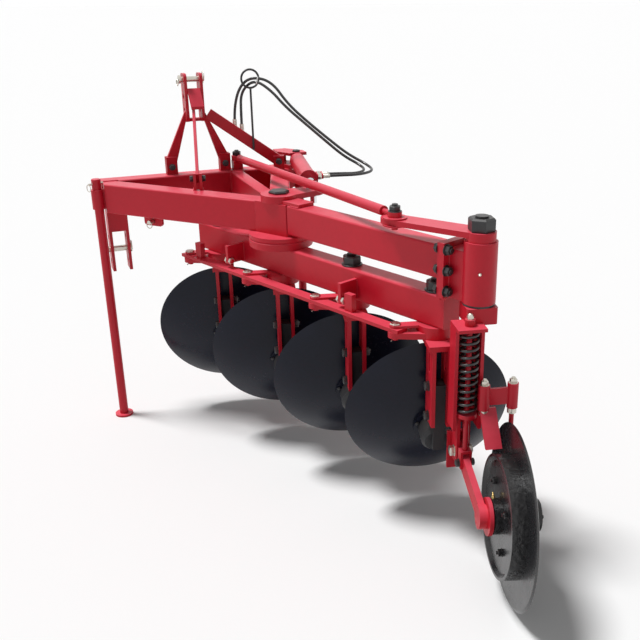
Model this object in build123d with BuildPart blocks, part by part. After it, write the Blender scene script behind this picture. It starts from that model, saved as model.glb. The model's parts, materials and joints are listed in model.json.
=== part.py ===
"""Mounted two-way disc plough with four discs and a rear furrow wheel.

Millimetres, +X right, +Y forward (travel), +Z up, standing on the ground at Z = 0.
The pieces are laid out from the front middle of the cross beam, and at the end
the whole plough is centred over its own footprint.
"""
import os
from math import asin, atan2, cos, degrees, hypot, radians, sin, sqrt, tan

from build123d import *

# Front frame
FRAME_TOP = 1185
FRAME_HEIGHT = 135
BEAM_WIDTH = 90
BEAM_CORNER = 8
CROSS_HALF = 463
LEFT_MEET_X = -460
RIGHT_MEET_X = 400
CENTRE_WIDTH = 60
SEAT_GAP = 0.2
RUN_GAP = 0.5
PIN_FIT = 0.05

# Main pivot, its turntable and its lever
PIVOT_X = 177
PIVOT_Y = -785
PIVOT_RADIUS = 35
DRUM_RADIUS = 105
TURN_RADIUS = 136
TURN_THICK = 20
TURN_CHAMFER = 4
DRUM_CLEAR = 8
LEVER_THICK = 22
LEVER_LENGTH = 165
LEVER_END_RADIUS = 45
LEVER_TURN = 9.5
LEVER_SLACK = 5.8
LEVER_HUB_RADIUS = 78
LEVER_HUB_HEIGHT = 30
PIVOT_NUT_FLATS = 75
PIVOT_NUT_HEIGHT = 12
STRAP_LENGTH = 175

# Swinging beams, at rest turned to the right of straight back
BEAM_ANGLE = 21.5
UPPER_HEIGHT = 124
UPPER_END = 950
LOWER_HEIGHT = 124
LOWER_FRONT = 560
TIE_PLATE = 15
TIE_WIDTH = 140
TIE_RISE = 20

# Rear bearing and steering
REAR_S = 1085
REAR_HOUSING_RADIUS = 59
REAR_HOUSING_HEIGHT = 220
REAR_POST_RADIUS = 30
NECK_WIDTH = 80
STEER_THICK = 20
STEER_BOSS_RISE = 14
STEER_EYE = (378, -1520)
STEER_HUB_RADIUS = 52
STEER_END_RADIUS = 45
REAR_NUT_FLATS = 80
REAR_NUT_HEIGHT = 42
ROD_FRONT = (190, -58)
ROD_BLOCK_WIDTH = 46
ROD_RADIUS = 19
ROD_EYE_RADIUS = 26
ROD_EYE_THICK = 24
ROD_NECK_RADIUS = 10
ROD_FRONT_NECK = 40
ROD_REAR_NECK = 75
ROD_PIN_RADIUS = 12
ROD_FRONT_RISE = 45
STEER_SLACK = (14, -11)
STEER_WASHER_RADIUS = 44
STEER_WASHER = 5

# Disc gang
DISC_COUNT = 4
DISC_PITCH = 444
DISCS_AHEAD = 1
FLIP_ANGLE = 72
DISC_DIAMETER = 660
DISC_DEPTH = 95
DISC_THICK = 6
DISC_TILT = 15
RIM_AHEAD = 112
RIM_HEIGHT = 465
HUB_FLANGE_RADIUS = 75
HUB_FLANGE_THICK = 14
HUB_CAP_RADIUS = 42
HUB_CAP_RISE = 26
HUB_RADIUS = 58
HUB_LENGTH = 80
SPINDLE_RADIUS = 20
SPINDLE_LENGTH = 18

# Hangers and standards
HANGER_SHAFT_RADIUS = 30
HANGER_BOSS_RADIUS = 70
HANGER_LEVER = 150
HANGER_LEVER_THICK = 23
HANGER_LEVER_RADIUS = 28
HANGER_BOSS_HEIGHT = 47
HEAD_THICK = 20
SIDE_THICK = 14
SIDE_FRONT = -20
SIDE_DEPTH = 106
SIDE_LENGTH = 305
SIDE_CUT = 30
SLOT_WIDTH = 14
SLOT_LENGTH = 80
SLOT_DROP = 60
STANDARD_WIDTH = 44
STANDARD_DEPTH = 60
STANDARD_GRIP = 160
STANDARD_TAIL = 48
HANGER_NUT_FLATS = 62
HANGER_NUT_HEIGHT = 32

# Tie bar and stops
TIE_BAR_WIDTH = 50
TIE_BAR_THICK = 14
TIE_BAR_OVERHANG = 34
FORK_PLATE_RADIUS = 22
TIE_PIN_RADIUS = 11
TIE_PIN_HEAD_RADIUS = 17
TIE_PIN_HEAD = 7
TIE_PIN_TAIL = 12
POST_HEIGHT = 70
POST_WIDTH = 24
POST_DEPTH = 40
STOP_BOLT_RADIUS = 9
STOP_BOLT_RISE = 34
STOP_ARM_THICK = 16
STOP_ARM_HEIGHT = 80
STOP_ARM_LIFT = 13
STOP_CLEAR = 6
FRONT_POST_S = -445
REAR_POST_S = 560
STOP_BOLT_LENGTH = 46

# Mast
MAST_GAP = 60
MAST_PLATE = 14
MAST_FRONT = -5
MAST_DEPTH = 75
MAST_RISE = 468
MAST_LENGTH = 223
MAST_CORNER = 20
TOP_HOLE_RADIUS = 13
TOP_HOLE_Y = -41
TOP_HOLE_DROPS = (28, 107, 170)
LEG_FOOT_X = 130
LEG_FOOT_RISE = 60
LEG_WIDTH = 50
LEG_THICK = 16
LUG_THICK = 12
LUG_LENGTH = 52
REAR_LEG_FOOT = (-88, -430)
BRACE_FOOT = (372, -168)
STRUT_DEPTH = 52
SADDLE_THICK = 8
SADDLE_RUN = 62
SADDLE_DROP = 78
STRUT_THICK = 14
STRUT_FOOT_RISE = 48

# Lower links and stands
LINK_INSET = 51
LINK_GAP = 64
LINK_PLATE = 14
LINK_FRONT = -5
LINK_DEPTH = 80
LINK_LENGTH = 305
LINK_HOLE_RADIUS = 14.3
LINK_HOLE_RISES = (160, 102, 44)
LINK_WEB = 14
LINK_WEB_HEIGHT = 110
STAND_RADIUS = 21
STAND_FOOT_RADIUS = 43
STAND_FOOT_THICK = 10
STAND_RISE = 23
SLEEVE_WALL = 7
SLEEVE_HEIGHT = 90
SLEEVE_RISE = 18
SLEEVE_WEB = 24

# Swing cylinder
CYLINDER_BASE = (475, -130)
BARREL_RADIUS = 38
BARREL_START = 42
BARREL_END = 470
GLAND_RADIUS = 42
GLAND_LENGTH = 30
CYLINDER_ROD_RADIUS = 18
BASE_EYE_RADIUS = 30
BASE_EYE_THICK = 45
BASE_PIN_RADIUS = 15
ROD_HEAD_RADIUS = 32
ROD_HEAD_THICK = 20
CYLINDER_PIN_RADIUS = 14
PORTS = (440, 396)
PORT_RADIUS = 13
PORT_REACH = 72
TONGUE_LENGTH = 95
TONGUE_WIDTH = 42

# Rear furrow wheel unit
WHEEL_HEADING = 13.2
WHEEL_LEAN = -2
WHEEL_TOE = 4.3
WHEEL_BACK = -305
WHEEL_SIDE = -24
FLANGE_RADIUS = 322
FLANGE_THICK = 8
DRUM_WHEEL_RADIUS = 215
DRUM_WHEEL_WIDTH = 52
DRUM_WALL = 12
WHEEL_HUB_RADIUS = 62
WHEEL_HUB_RISE = 16
WHEEL_CAP_RADIUS = 56
WHEEL_CAP_LENGTH = 90
WHEEL_CONE_RADIUS = 92
WHEEL_CONE_LENGTH = 58
AXLE_RADIUS = 24
ARM_AHEAD = -10
ARM_HEIGHT = 426
ARM_DEPTH = 62
ARM_THICK = 24
ARM_BOSS_RADIUS = 42
ARM_RING_RADIUS = 66
ARM_RING_THICK = 14
HUB_CLEAR = 5
HEAD_SIZE = 112
HEAD_HEIGHT = 60
FORK_GAP = 80
FORK_WALL = 12
FORK_DEPTH = 75
FORK_ROOF = 106
FORK_LENGTH = 398
FORK_SEAT = 7
ROOF_BOSS_RADIUS = 18
ROOF_BOSS_HEIGHT = 24
PIVOT_LUG_BACK = -40
PIVOT_LUG_WIDTH = 60
SHIELD_AHEAD = 42
SHIELD_WIDTH = 80
SHIELD_DROP = 96
SHIELD_HEIGHT = 155
SPRING_RADIUS = 37
SPRING_WIRE = 10
SPRING_COILS = 12
SPRING_LENGTH = 320
SPRING_ROD_RADIUS = 10
SPRING_CUP = 14
YOKE_WIDTH = 36
YOKE_WALL = 9

# Wheel scraper, about the rear pivot
CLAMP_RADIUS = 20
CLAMP_WALL = 5
CLAMP_HEIGHT = 95
CLAMP_RISE = 88
CLAMP_SPREAD = 105
SHANK_RADIUS = 9
SHANK_LENGTH = 78
BLADE_THICK = 10
BLADE_LEFT = 16
BLADE_WIDTH = 60
BLADE_RUN = 90
BLADE_DROP = 115

# Transport lock under the left slanting beam
LOCK_SPOT = (-275, -292)
LOCK_LENGTH = 100
LOCK_DROP = 45
LOCK_HOLE_RADIUS = 11

# Hoses
HOSE_DIAMETER = 13
CORNER_SHARE = 0.45
COUPLER_RADIUS = 13
COUPLER_LENGTH = 46
FERRULE_RADIUS = 10
FERRULE_LENGTH = 16
HOLDER_SHARE = 0.636
HOLDER_ROD_RADIUS = 5
HOLDER_RING_RADIUS = 42
HOLDER_RISE = 441
HOSE_STRAIGHT = 80
# Each hose leaves its port straight, runs up through the ring and drops into its coupler ahead of the brace
HOSE_ROUTES = (
    ((626, -617, 1228), (707, -573, 1231), (709, -478, 1244), (640, -412, 1286), (561, -357, 1357),
     (483, -302, 1431), (405, -246, 1512), (346, -190, 1615), (259, -149, 1635), (206, -121, 1588)),
    ((618, -575, 1225), (681, -532, 1227), (684, -456, 1239), (621, -408, 1277), (547, -364, 1347),
     (470, -308, 1423), (390, -253, 1501), (335, -216, 1575), (271, -159, 1624), (218, -100, 1564)),
)
HOSE_ENDS = (0.375, 0.475)

FRAME_BOTTOM = FRAME_TOP - FRAME_HEIGHT
MAST_TOP = FRAME_TOP + MAST_RISE
MAST_BOTTOM = MAST_TOP - MAST_LENGTH
TOP_HOLE_HEIGHTS = [MAST_TOP - drop for drop in TOP_HOLE_DROPS]
LEG_FOOT_HEIGHT = FRAME_TOP + LEG_FOOT_RISE
LINK_X = CROSS_HALF - LINK_INSET
LINK_BOTTOM = FRAME_BOTTOM - LINK_LENGTH
LINK_HOLE_HEIGHTS = [LINK_BOTTOM + rise for rise in LINK_HOLE_RISES]
ROD_FRONT_BASE = FRAME_TOP + ROD_FRONT_RISE
UPPER_TOP = FRAME_TOP + 1
UPPER_BOTTOM = UPPER_TOP - UPPER_HEIGHT
TURN_SPLIT = FRAME_BOTTOM - TURN_THICK - RUN_GAP
LOWER_TOP = TURN_SPLIT - 32
LOWER_BOTTOM = LOWER_TOP - LOWER_HEIGHT
BOSS_TOP = LOWER_BOTTOM - RUN_GAP
BOSS_BOTTOM = BOSS_TOP - HANGER_BOSS_HEIGHT
LEVER_TOP = BOSS_BOTTOM + HANGER_LEVER_THICK
TIE_BAR_BOTTOM = LEVER_TOP + RUN_GAP
TIE_BAR_TOP = TIE_BAR_BOTTOM + TIE_BAR_THICK
LEVER_BOTTOM = UPPER_TOP + LEVER_HUB_HEIGHT - LEVER_THICK
LEVER_FACE = UPPER_TOP + LEVER_HUB_HEIGHT
CYLINDER_HEIGHT = LEVER_FACE + RUN_GAP + ROD_HEAD_THICK / 2
HANGER_SIDE_TOP = BOSS_BOTTOM - HEAD_THICK
SIDE_BOTTOM = HANGER_SIDE_TOP - SIDE_LENGTH
TIE_END = UPPER_END + TIE_PLATE
REAR_TOP = LOWER_TOP + 7 + REAR_HOUSING_HEIGHT
REAR_BOTTOM = LOWER_TOP + 7
STEER_BOTTOM = REAR_TOP + STEER_BOSS_RISE
STEER_TOP = STEER_BOTTOM + STEER_THICK
HEAD_TOP = REAR_BOTTOM - 8
HEAD_BOTTOM = HEAD_TOP - HEAD_HEIGHT
FORK_TOP = HEAD_BOTTOM + FORK_SEAT
FORK_BOTTOM = FORK_TOP - FORK_LENGTH
FAR = 4000


def along_beam(s, side=0):
    """Plan point on the swinging beams: s back from the main pivot, side to the right."""
    turn = radians(BEAM_ANGLE)
    return (PIVOT_X + s * sin(turn) + side * cos(turn), PIVOT_Y - s * cos(turn) + side * sin(turn))


BEAM_PLACE = Location((PIVOT_X, PIVOT_Y, 0), (0, 0, BEAM_ANGLE - 90))
REAR_PIVOT = along_beam(REAR_S)
CARRIER_PLACE = Location((*REAR_PIVOT, 0), (0, 0, 90 - WHEEL_HEADING))
DISC_S = [DISC_PITCH * (number - DISCS_AHEAD) for number in range(DISC_COUNT)]
HANGER_TURN = 90 + BEAM_ANGLE - FLIP_ANGLE / 2
LEVER_REST = radians(LEVER_TURN)
LEVER_TIP = (PIVOT_X + LEVER_LENGTH * cos(LEVER_REST), PIVOT_Y + LEVER_LENGTH * sin(LEVER_REST))

placed = {}


def keep(node, piece, location=Location()):
    """File a finished piece under its node name, moved to its place on the plough."""
    placed[node] = piece.part.moved(location)


def strut(start, end, depth, thick):
    """Flat bar standing on edge between two points."""
    first = Vector(*start)
    run = Vector(*end) - first
    side = Vector(run.Y, -run.X, 0).normalized()
    with BuildPart(Plane(origin=first + run * 0.5, x_dir=run, z_dir=side)) as bar:
        Box(run.length, depth, thick)
        fillet(bar.edges().filter_by(Axis(first, run)), thick / 7)
    return bar


# Front frame: cross beam with the lugs of the mast legs
with BuildPart() as cross_beam:
    with Locations((0, -BEAM_WIDTH / 2, FRAME_TOP - FRAME_HEIGHT / 2)):
        Box(2 * CROSS_HALF, BEAM_WIDTH, FRAME_HEIGHT)
    fillet(cross_beam.edges().filter_by(Axis.X), BEAM_CORNER)
    lug_height = LEG_FOOT_HEIGHT + LEG_WIDTH / 2 - FRAME_TOP
    lug_offset = (LEG_THICK + LUG_THICK) / 2 + SEAT_GAP
    for side in (-1, 1):
        for face in (-1, 1):
            with Locations((side * LEG_FOOT_X, -BEAM_WIDTH / 2 + face * lug_offset, FRAME_TOP)):
                Box(LUG_LENGTH, LUG_THICK, lug_height, align=(Align.CENTER, Align.CENTER, Align.MIN))
keep("cross_beam", cross_beam)


def oblique(meet_x, cut_x, cut_side, foot, head):
    """Slanting beam from the pivot drum to the cross beam, with the lug of one mast strut on top.

    meet_x is where its centre line meets the cross beam's rear face, and everything on the
    cut_side of cut_x is taken off. The lug stands at foot, in line with the strut from head.
    """
    run = (meet_x - PIVOT_X, -BEAM_WIDTH - PIVOT_Y)
    turn = degrees(atan2(run[1], run[0]))
    cut_align = Align.MAX if cut_side < 0 else Align.MIN
    with BuildPart() as beam:
        with BuildSketch(Plane.XY.offset(FRAME_BOTTOM)):
            with Locations(Location((PIVOT_X, PIVOT_Y, 0), (0, 0, turn))):
                Rectangle(hypot(*run) + BEAM_WIDTH, BEAM_WIDTH, align=(Align.MIN, Align.CENTER))
            with Locations((0, -BEAM_WIDTH)):
                Rectangle(FAR, FAR, align=(Align.CENTER, Align.MIN), mode=Mode.SUBTRACT)
            with Locations((cut_x, 0)):
                Rectangle(FAR, FAR, align=(cut_align, Align.CENTER), mode=Mode.SUBTRACT)
            with Locations((PIVOT_X, PIVOT_Y)):
                Circle(DRUM_RADIUS + SEAT_GAP, mode=Mode.SUBTRACT)
        extrude(amount=FRAME_HEIGHT)
        fillet(beam.edges().filter_by(Axis((0, 0, 0), (*run, 0))), BEAM_CORNER)
        heading = degrees(atan2(head[1] - foot[1], head[0] - foot[0]))
        offset = (STRUT_THICK + LUG_THICK) / 2 + SEAT_GAP
        with Locations(Location((*foot, FRAME_TOP), (0, 0, heading))):
            with Locations((0, offset, 0), (0, -offset, 0)):
                Box(LUG_LENGTH, LUG_THICK, STRUT_FOOT_RISE + STRUT_DEPTH / 2,
                    align=(Align.CENTER, Align.CENTER, Align.MIN))
    return beam


MAST_BACK = MAST_FRONT - MAST_DEPTH
REAR_LEG_HEAD = (-4, MAST_BACK + 26, MAST_BOTTOM + 42)
BRACE_HEAD = (MAST_GAP / 2 + MAST_PLATE + STRUT_THICK + 2, MAST_BACK + 10, MAST_BOTTOM + 36)
keep("oblique_beam_left", oblique(LEFT_MEET_X, -CROSS_HALF, -1, REAR_LEG_FOOT, REAR_LEG_HEAD))
keep("oblique_beam_right", oblique(RIGHT_MEET_X, PIVOT_X + CENTRE_WIDTH / 2, -1, BRACE_FOOT, BRACE_HEAD))

with BuildPart() as centre_beam:
    with BuildSketch(Plane.XY.offset(FRAME_BOTTOM)):
        with Locations((PIVOT_X, -BEAM_WIDTH)):
            Rectangle(CENTRE_WIDTH, -BEAM_WIDTH - PIVOT_Y, align=(Align.CENTER, Align.MAX))
        with Locations((PIVOT_X, PIVOT_Y)):
            Circle(DRUM_RADIUS + SEAT_GAP, mode=Mode.SUBTRACT)
    extrude(amount=FRAME_HEIGHT)
    fillet(centre_beam.edges().filter_by(Axis.Y), BEAM_CORNER)
keep("centre_beam", centre_beam)

# Pivot housing: a drum with a flat that runs from the left slanting beam to the upper beam
LEFT_TURN = degrees(atan2(-BEAM_WIDTH - PIVOT_Y, LEFT_MEET_X - PIVOT_X))
EDGE_ANGLE = degrees(asin(BEAM_WIDTH / 2 / DRUM_RADIUS))
FLAT_FROM = LEFT_TURN + EDGE_ANGLE
FLAT_TO = 270 + BEAM_ANGLE - EDGE_ANGLE
FLAT_HALF = radians((FLAT_TO - FLAT_FROM) / 2)
with BuildPart() as pivot_housing:
    with BuildSketch(Plane.XY.offset(FRAME_BOTTOM)):
        with Locations(Location((PIVOT_X, PIVOT_Y, 0), (0, 0, (FLAT_FROM + FLAT_TO) / 2))):
            Circle(DRUM_RADIUS)
            with Locations((DRUM_RADIUS * cos(FLAT_HALF), 0)):
                Rectangle(FAR, FAR, align=(Align.MIN, Align.CENTER), mode=Mode.SUBTRACT)
    extrude(amount=FRAME_HEIGHT)
    with Locations((PIVOT_X, PIVOT_Y, FRAME_BOTTOM)):
        Cylinder(TURN_RADIUS, TURN_THICK, align=(Align.CENTER, Align.CENTER, Align.MAX))
    rim = pivot_housing.faces().sort_by(Axis.Z)[0].outer_wire().edges()
    chamfer(rim, TURN_CHAMFER)
    with Locations((PIVOT_X, PIVOT_Y, FRAME_BOTTOM)):
        Hole(PIVOT_RADIUS + PIN_FIT, depth=FAR)
keep("pivot_housing", pivot_housing)

# Lug of the transport lock, hung under the left slanting beam
with BuildPart() as lock_lug:
    with BuildSketch(Plane.XZ):
        Rectangle(LOCK_LENGTH, LOCK_DROP, align=(Align.CENTER, Align.MAX))
        fillet(vertices().group_by(Axis.Y)[0], LOCK_DROP / 3)
        with Locations((0, -LOCK_DROP / 2)):
            Circle(LOCK_HOLE_RADIUS, mode=Mode.SUBTRACT)
    extrude(amount=LUG_THICK / 2, both=True)
keep("lock_lug", lock_lug, Location((*LOCK_SPOT, FRAME_BOTTOM - SEAT_GAP), (0, 0, LEFT_TURN)))

# Mast: clevis plates, legs, struts and the pin of the top link
with BuildPart() as mast_head:
    for side in (-1, 1):
        with BuildSketch(Plane.YZ.offset(side * (MAST_GAP + MAST_PLATE) / 2)):
            with Locations((MAST_FRONT - MAST_DEPTH / 2, (MAST_TOP + MAST_BOTTOM) / 2)):
                RectangleRounded(MAST_DEPTH, MAST_TOP - MAST_BOTTOM, MAST_CORNER)
            with Locations(*[(TOP_HOLE_Y, height) for height in TOP_HOLE_HEIGHTS]):
                Circle(TOP_HOLE_RADIUS, mode=Mode.SUBTRACT)
        extrude(amount=MAST_PLATE / 2, both=True)
    with Locations((0, MAST_FRONT - MAST_DEPTH * 0.35, MAST_BOTTOM)):
        Box(MAST_GAP, MAST_DEPTH * 0.4, MAST_PLATE, align=(Align.CENTER, Align.CENTER, Align.MIN))
    saddle_top = TOP_HOLE_HEIGHTS[1] + 40
    with BuildSketch(Plane.YZ):
        with BuildLine():
            Polyline((MAST_BACK + 8, saddle_top), (MAST_BACK + 8 - SADDLE_RUN, saddle_top - SADDLE_DROP),
                     (MAST_BACK + 8 - SADDLE_RUN, saddle_top - SADDLE_DROP - 1.6 * SADDLE_THICK),
                     (MAST_BACK + 8, saddle_top - 1.6 * SADDLE_THICK), close=True)
        make_face()
    extrude(amount=MAST_GAP / 2, both=True)
keep("mast_head", mast_head)

for name, side in (("left", -1), ("right", 1)):
    inner = MAST_GAP / 2 + MAST_PLATE
    with BuildPart() as leg:
        with BuildSketch(Plane.XZ.offset(BEAM_WIDTH / 2 - LEG_THICK / 2)):
            with BuildLine():
                Polyline((side * inner, MAST_BOTTOM + 52), (side * inner, MAST_BOTTOM + 4),
                         (side * (LEG_FOOT_X - LEG_WIDTH / 2), LEG_FOOT_HEIGHT - 10),
                         (side * (LEG_FOOT_X - LEG_WIDTH / 2), FRAME_TOP + SEAT_GAP),
                         (side * (LEG_FOOT_X + LEG_WIDTH / 2), FRAME_TOP + SEAT_GAP),
                         (side * (LEG_FOOT_X + LEG_WIDTH / 2), LEG_FOOT_HEIGHT + 6), close=True)
            make_face()
        extrude(amount=LEG_THICK)
    keep(f"mast_leg_{name}", leg)

STRUT_FOOT_HEIGHT = FRAME_TOP + STRUT_FOOT_RISE
keep("mast_leg_rear", strut(REAR_LEG_HEAD, (*REAR_LEG_FOOT, STRUT_FOOT_HEIGHT), STRUT_DEPTH, STRUT_THICK))
keep("mast_brace", strut(BRACE_HEAD, (*BRACE_FOOT, STRUT_FOOT_HEIGHT), STRUT_DEPTH, STRUT_THICK))

with BuildPart() as top_link_pin:
    pin_reach = MAST_GAP / 2 + MAST_PLATE + 14
    with Locations(Location((0, TOP_HOLE_Y, TOP_HOLE_HEIGHTS[0]), (0, 90, 0))):
        Cylinder(TOP_HOLE_RADIUS - PIN_FIT, 2 * pin_reach)
    with Locations(Location((-pin_reach, TOP_HOLE_Y, TOP_HOLE_HEIGHTS[0]), (0, 90, 0))):
        Cylinder(TOP_HOLE_RADIUS * 1.5, 8)
keep("top_link_pin", top_link_pin)

# Lower link brackets with their pins, stand sleeves and stands
for name, side in (("left", -1), ("right", 1)):
    with BuildPart() as bracket:
        for face in (-1, 1):
            with BuildSketch(Plane.YZ.offset(side * LINK_X + face * (LINK_GAP + LINK_PLATE) / 2)):
                with Locations((LINK_FRONT - LINK_DEPTH / 2, FRAME_BOTTOM)):
                    Rectangle(LINK_DEPTH, FRAME_BOTTOM - LINK_BOTTOM, align=(Align.CENTER, Align.MAX))
                with Locations(*[(LINK_FRONT - LINK_DEPTH / 2, height) for height in LINK_HOLE_HEIGHTS]):
                    Circle(LINK_HOLE_RADIUS, mode=Mode.SUBTRACT)
            extrude(amount=LINK_PLATE / 2, both=True)
        with Locations((side * LINK_X, LINK_FRONT - LINK_DEPTH + LINK_WEB / 2, FRAME_BOTTOM)):
            Box(LINK_GAP, LINK_WEB, LINK_WEB_HEIGHT, align=(Align.CENTER, Align.CENTER, Align.MAX))
    keep(f"lower_link_bracket_{name}", bracket)

    with BuildPart() as link_pin:
        reach = LINK_GAP / 2 + LINK_PLATE + 12
        pin_at = (side * LINK_X, LINK_FRONT - LINK_DEPTH / 2, LINK_HOLE_HEIGHTS[1])
        with Locations(Location(pin_at, (0, 90, 0))):
            Cylinder(LINK_HOLE_RADIUS - PIN_FIT, 2 * reach)
            with Locations((0, 0, side * reach)):
                Cylinder(LINK_HOLE_RADIUS * 1.4, 7)
    keep(f"lower_link_pin_{name}", link_pin)

# Columns: side name, middle of the stand in plan
STANDS = (
    ("left", (-CROSS_HALF - 30, -125)),
    ("right", (CROSS_HALF + 52, -35)),
)
for name, (stand_x, stand_y) in STANDS:
    end_x = CROSS_HALF if stand_x > 0 else -CROSS_HALF
    sleeve_radius = STAND_RADIUS + PIN_FIT + SLEEVE_WALL
    with BuildPart() as sleeve:
        with BuildSketch(Plane.XY.offset(FRAME_BOTTOM + SLEEVE_RISE)):
            with Locations(((stand_x + end_x) / 2, stand_y)):
                Rectangle(abs(stand_x - end_x), SLEEVE_WEB)
            with Locations((stand_x, stand_y)):
                Circle(sleeve_radius)
                Circle(STAND_RADIUS + PIN_FIT, mode=Mode.SUBTRACT)
        extrude(amount=SLEEVE_HEIGHT)
    keep(f"stand_sleeve_{name}", sleeve)

    with BuildPart() as stand:
        with Locations((stand_x, stand_y, 0)):
            Cylinder(STAND_FOOT_RADIUS, STAND_FOOT_THICK, align=(Align.CENTER, Align.CENTER, Align.MIN))
            Cylinder(STAND_RADIUS, FRAME_TOP + STAND_RISE, align=(Align.CENTER, Align.CENTER, Align.MIN))
        fillet(stand.faces().sort_by(Axis.Z)[-1].edges(), 4)
    keep(f"stand_{name}", stand)

# Swing frame: pivot post with the lower turntable flange
with BuildPart() as pivot_post:
    with Locations((0, 0, LOWER_TOP)):
        Cylinder(TURN_RADIUS, TURN_SPLIT - LOWER_TOP, align=(Align.CENTER, Align.CENTER, Align.MIN))
    chamfer(pivot_post.faces().sort_by(Axis.Z)[-1].edges(), TURN_CHAMFER)
    with Locations((0, 0, LOWER_TOP)):
        Cylinder(PIVOT_RADIUS, LEVER_FACE + PIVOT_NUT_HEIGHT - LOWER_TOP,
                 align=(Align.CENTER, Align.CENTER, Align.MIN))
    with BuildSketch(Plane.XY.offset(LEVER_FACE)):
        RegularPolygon(PIVOT_NUT_FLATS / 2, 6, major_radius=False)
    extrude(amount=PIVOT_NUT_HEIGHT - 3)
keep("pivot_post", pivot_post, BEAM_PLACE)

LEVER_LOCAL = radians(LEVER_TURN + 90 - BEAM_ANGLE)
LEVER_AIM = (cos(LEVER_LOCAL), sin(LEVER_LOCAL), 0)
with BuildPart() as pivot_lever:
    with Locations((0, 0, UPPER_TOP)):
        Cylinder(LEVER_HUB_RADIUS, LEVER_HUB_HEIGHT, align=(Align.CENTER, Align.CENTER, Align.MIN))
    with BuildSketch(Plane((0, 0, LEVER_BOTTOM), x_dir=LEVER_AIM, z_dir=(0, 0, 1))):
        with BuildLine():
            Polyline((0, -LEVER_HUB_RADIUS * 0.9), (LEVER_LENGTH, -LEVER_END_RADIUS),
                     (LEVER_LENGTH, LEVER_END_RADIUS), (0, LEVER_HUB_RADIUS * 0.9), close=True)
        make_face()
        with Locations((LEVER_LENGTH, 0)):
            Circle(LEVER_END_RADIUS)
        with Locations((LEVER_LENGTH - LEVER_SLACK, 0)):
            Circle(CYLINDER_PIN_RADIUS + LEVER_SLACK + 1.2, mode=Mode.SUBTRACT)
    extrude(amount=LEVER_THICK)
    with BuildSketch(Plane.XY.offset(UPPER_TOP)):
        Rectangle(STRAP_LENGTH, BEAM_WIDTH - 10, align=(Align.MIN, Align.CENTER))
    extrude(amount=LEVER_HUB_HEIGHT - LEVER_THICK + 6)
    with Locations((0, 0, UPPER_TOP)):
        Hole(PIVOT_RADIUS + PIN_FIT, depth=FAR)
keep("pivot_lever", pivot_lever, BEAM_PLACE)

with BuildPart() as upper_beam:
    with BuildSketch(Plane.XY.offset(UPPER_BOTTOM)):
        Rectangle(UPPER_END, BEAM_WIDTH, align=(Align.MIN, Align.CENTER))
        Circle(DRUM_RADIUS + DRUM_CLEAR, mode=Mode.SUBTRACT)
    extrude(amount=UPPER_HEIGHT)
    fillet(upper_beam.edges().filter_by(Axis.X), BEAM_CORNER)
    with Locations((UPPER_END, 0, LOWER_TOP)):
        Box(TIE_PLATE, TIE_WIDTH, UPPER_TOP + TIE_RISE - LOWER_TOP,
            align=(Align.MIN, Align.CENTER, Align.MIN))
keep("upper_beam", upper_beam, BEAM_PLACE)

with BuildPart() as rear_housing:
    with Locations((TIE_END, 0, REAR_BOTTOM)):
        Box(TIE_PLATE, TIE_WIDTH, UPPER_TOP + TIE_RISE - REAR_BOTTOM,
            align=(Align.MIN, Align.CENTER, Align.MIN))
        Box(REAR_S - TIE_END, NECK_WIDTH, REAR_HOUSING_HEIGHT - 40,
            align=(Align.MIN, Align.CENTER, Align.MIN))
    with Locations((REAR_S, 0, REAR_BOTTOM)):
        Cylinder(REAR_HOUSING_RADIUS, REAR_HOUSING_HEIGHT, align=(Align.CENTER, Align.CENTER, Align.MIN))
        Hole(REAR_POST_RADIUS + PIN_FIT, depth=FAR)
keep("rear_housing", rear_housing, BEAM_PLACE)

HANGER_REST = radians(FLIP_ANGLE / 2)
TIE_SIDE = -HANGER_LEVER * cos(HANGER_REST)
TIE_LEAD = -HANGER_LEVER * sin(HANGER_REST)
TIE_TRAVEL = -2 * TIE_LEAD
# Columns: s of the stop arm's middle, direction in which its bolt points
STOPS = (
    (FRONT_POST_S + POST_DEPTH / 2 + TIE_TRAVEL + STOP_CLEAR + STOP_BOLT_LENGTH / 2, -1),
    (REAR_POST_S - POST_DEPTH / 2 - STOP_CLEAR - STOP_BOLT_LENGTH / 2, 1),
)
with BuildPart() as lower_beam:
    with Locations((-LOWER_FRONT, 0, LOWER_BOTTOM)):
        Box(LOWER_FRONT + TIE_END, BEAM_WIDTH, LOWER_HEIGHT, align=(Align.MIN, Align.CENTER, Align.MIN))
    fillet(lower_beam.edges().filter_by(Axis.X), BEAM_CORNER)
    for stop_s, _ in STOPS:
        arm_reach = -TIE_SIDE - BEAM_WIDTH / 2 + POST_WIDTH / 2
        with Locations((stop_s, -BEAM_WIDTH / 2 + 1, LOWER_BOTTOM + STOP_ARM_LIFT)):
            Box(STOP_ARM_THICK, arm_reach + 1, STOP_ARM_HEIGHT, align=(Align.CENTER, Align.MAX, Align.MIN))
        bolt_at = (stop_s, TIE_SIDE, TIE_BAR_TOP + STOP_BOLT_RISE)
        with Locations(Location(bolt_at, (0, 90, 0))):
            Cylinder(STOP_BOLT_RADIUS, STOP_BOLT_LENGTH)
    with Locations(*[(s, 0, LOWER_TOP) for s in DISC_S]):
        Hole(HANGER_SHAFT_RADIUS + PIN_FIT, depth=FAR)
keep("lower_beam", lower_beam, BEAM_PLACE)

# Hanger: shaft, boss, lever, head plate and the two side plates that hold the standard
SIDE_BACK = SIDE_FRONT - SIDE_DEPTH
SIDE_INNER = STANDARD_WIDTH / 2 + SEAT_GAP


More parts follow.
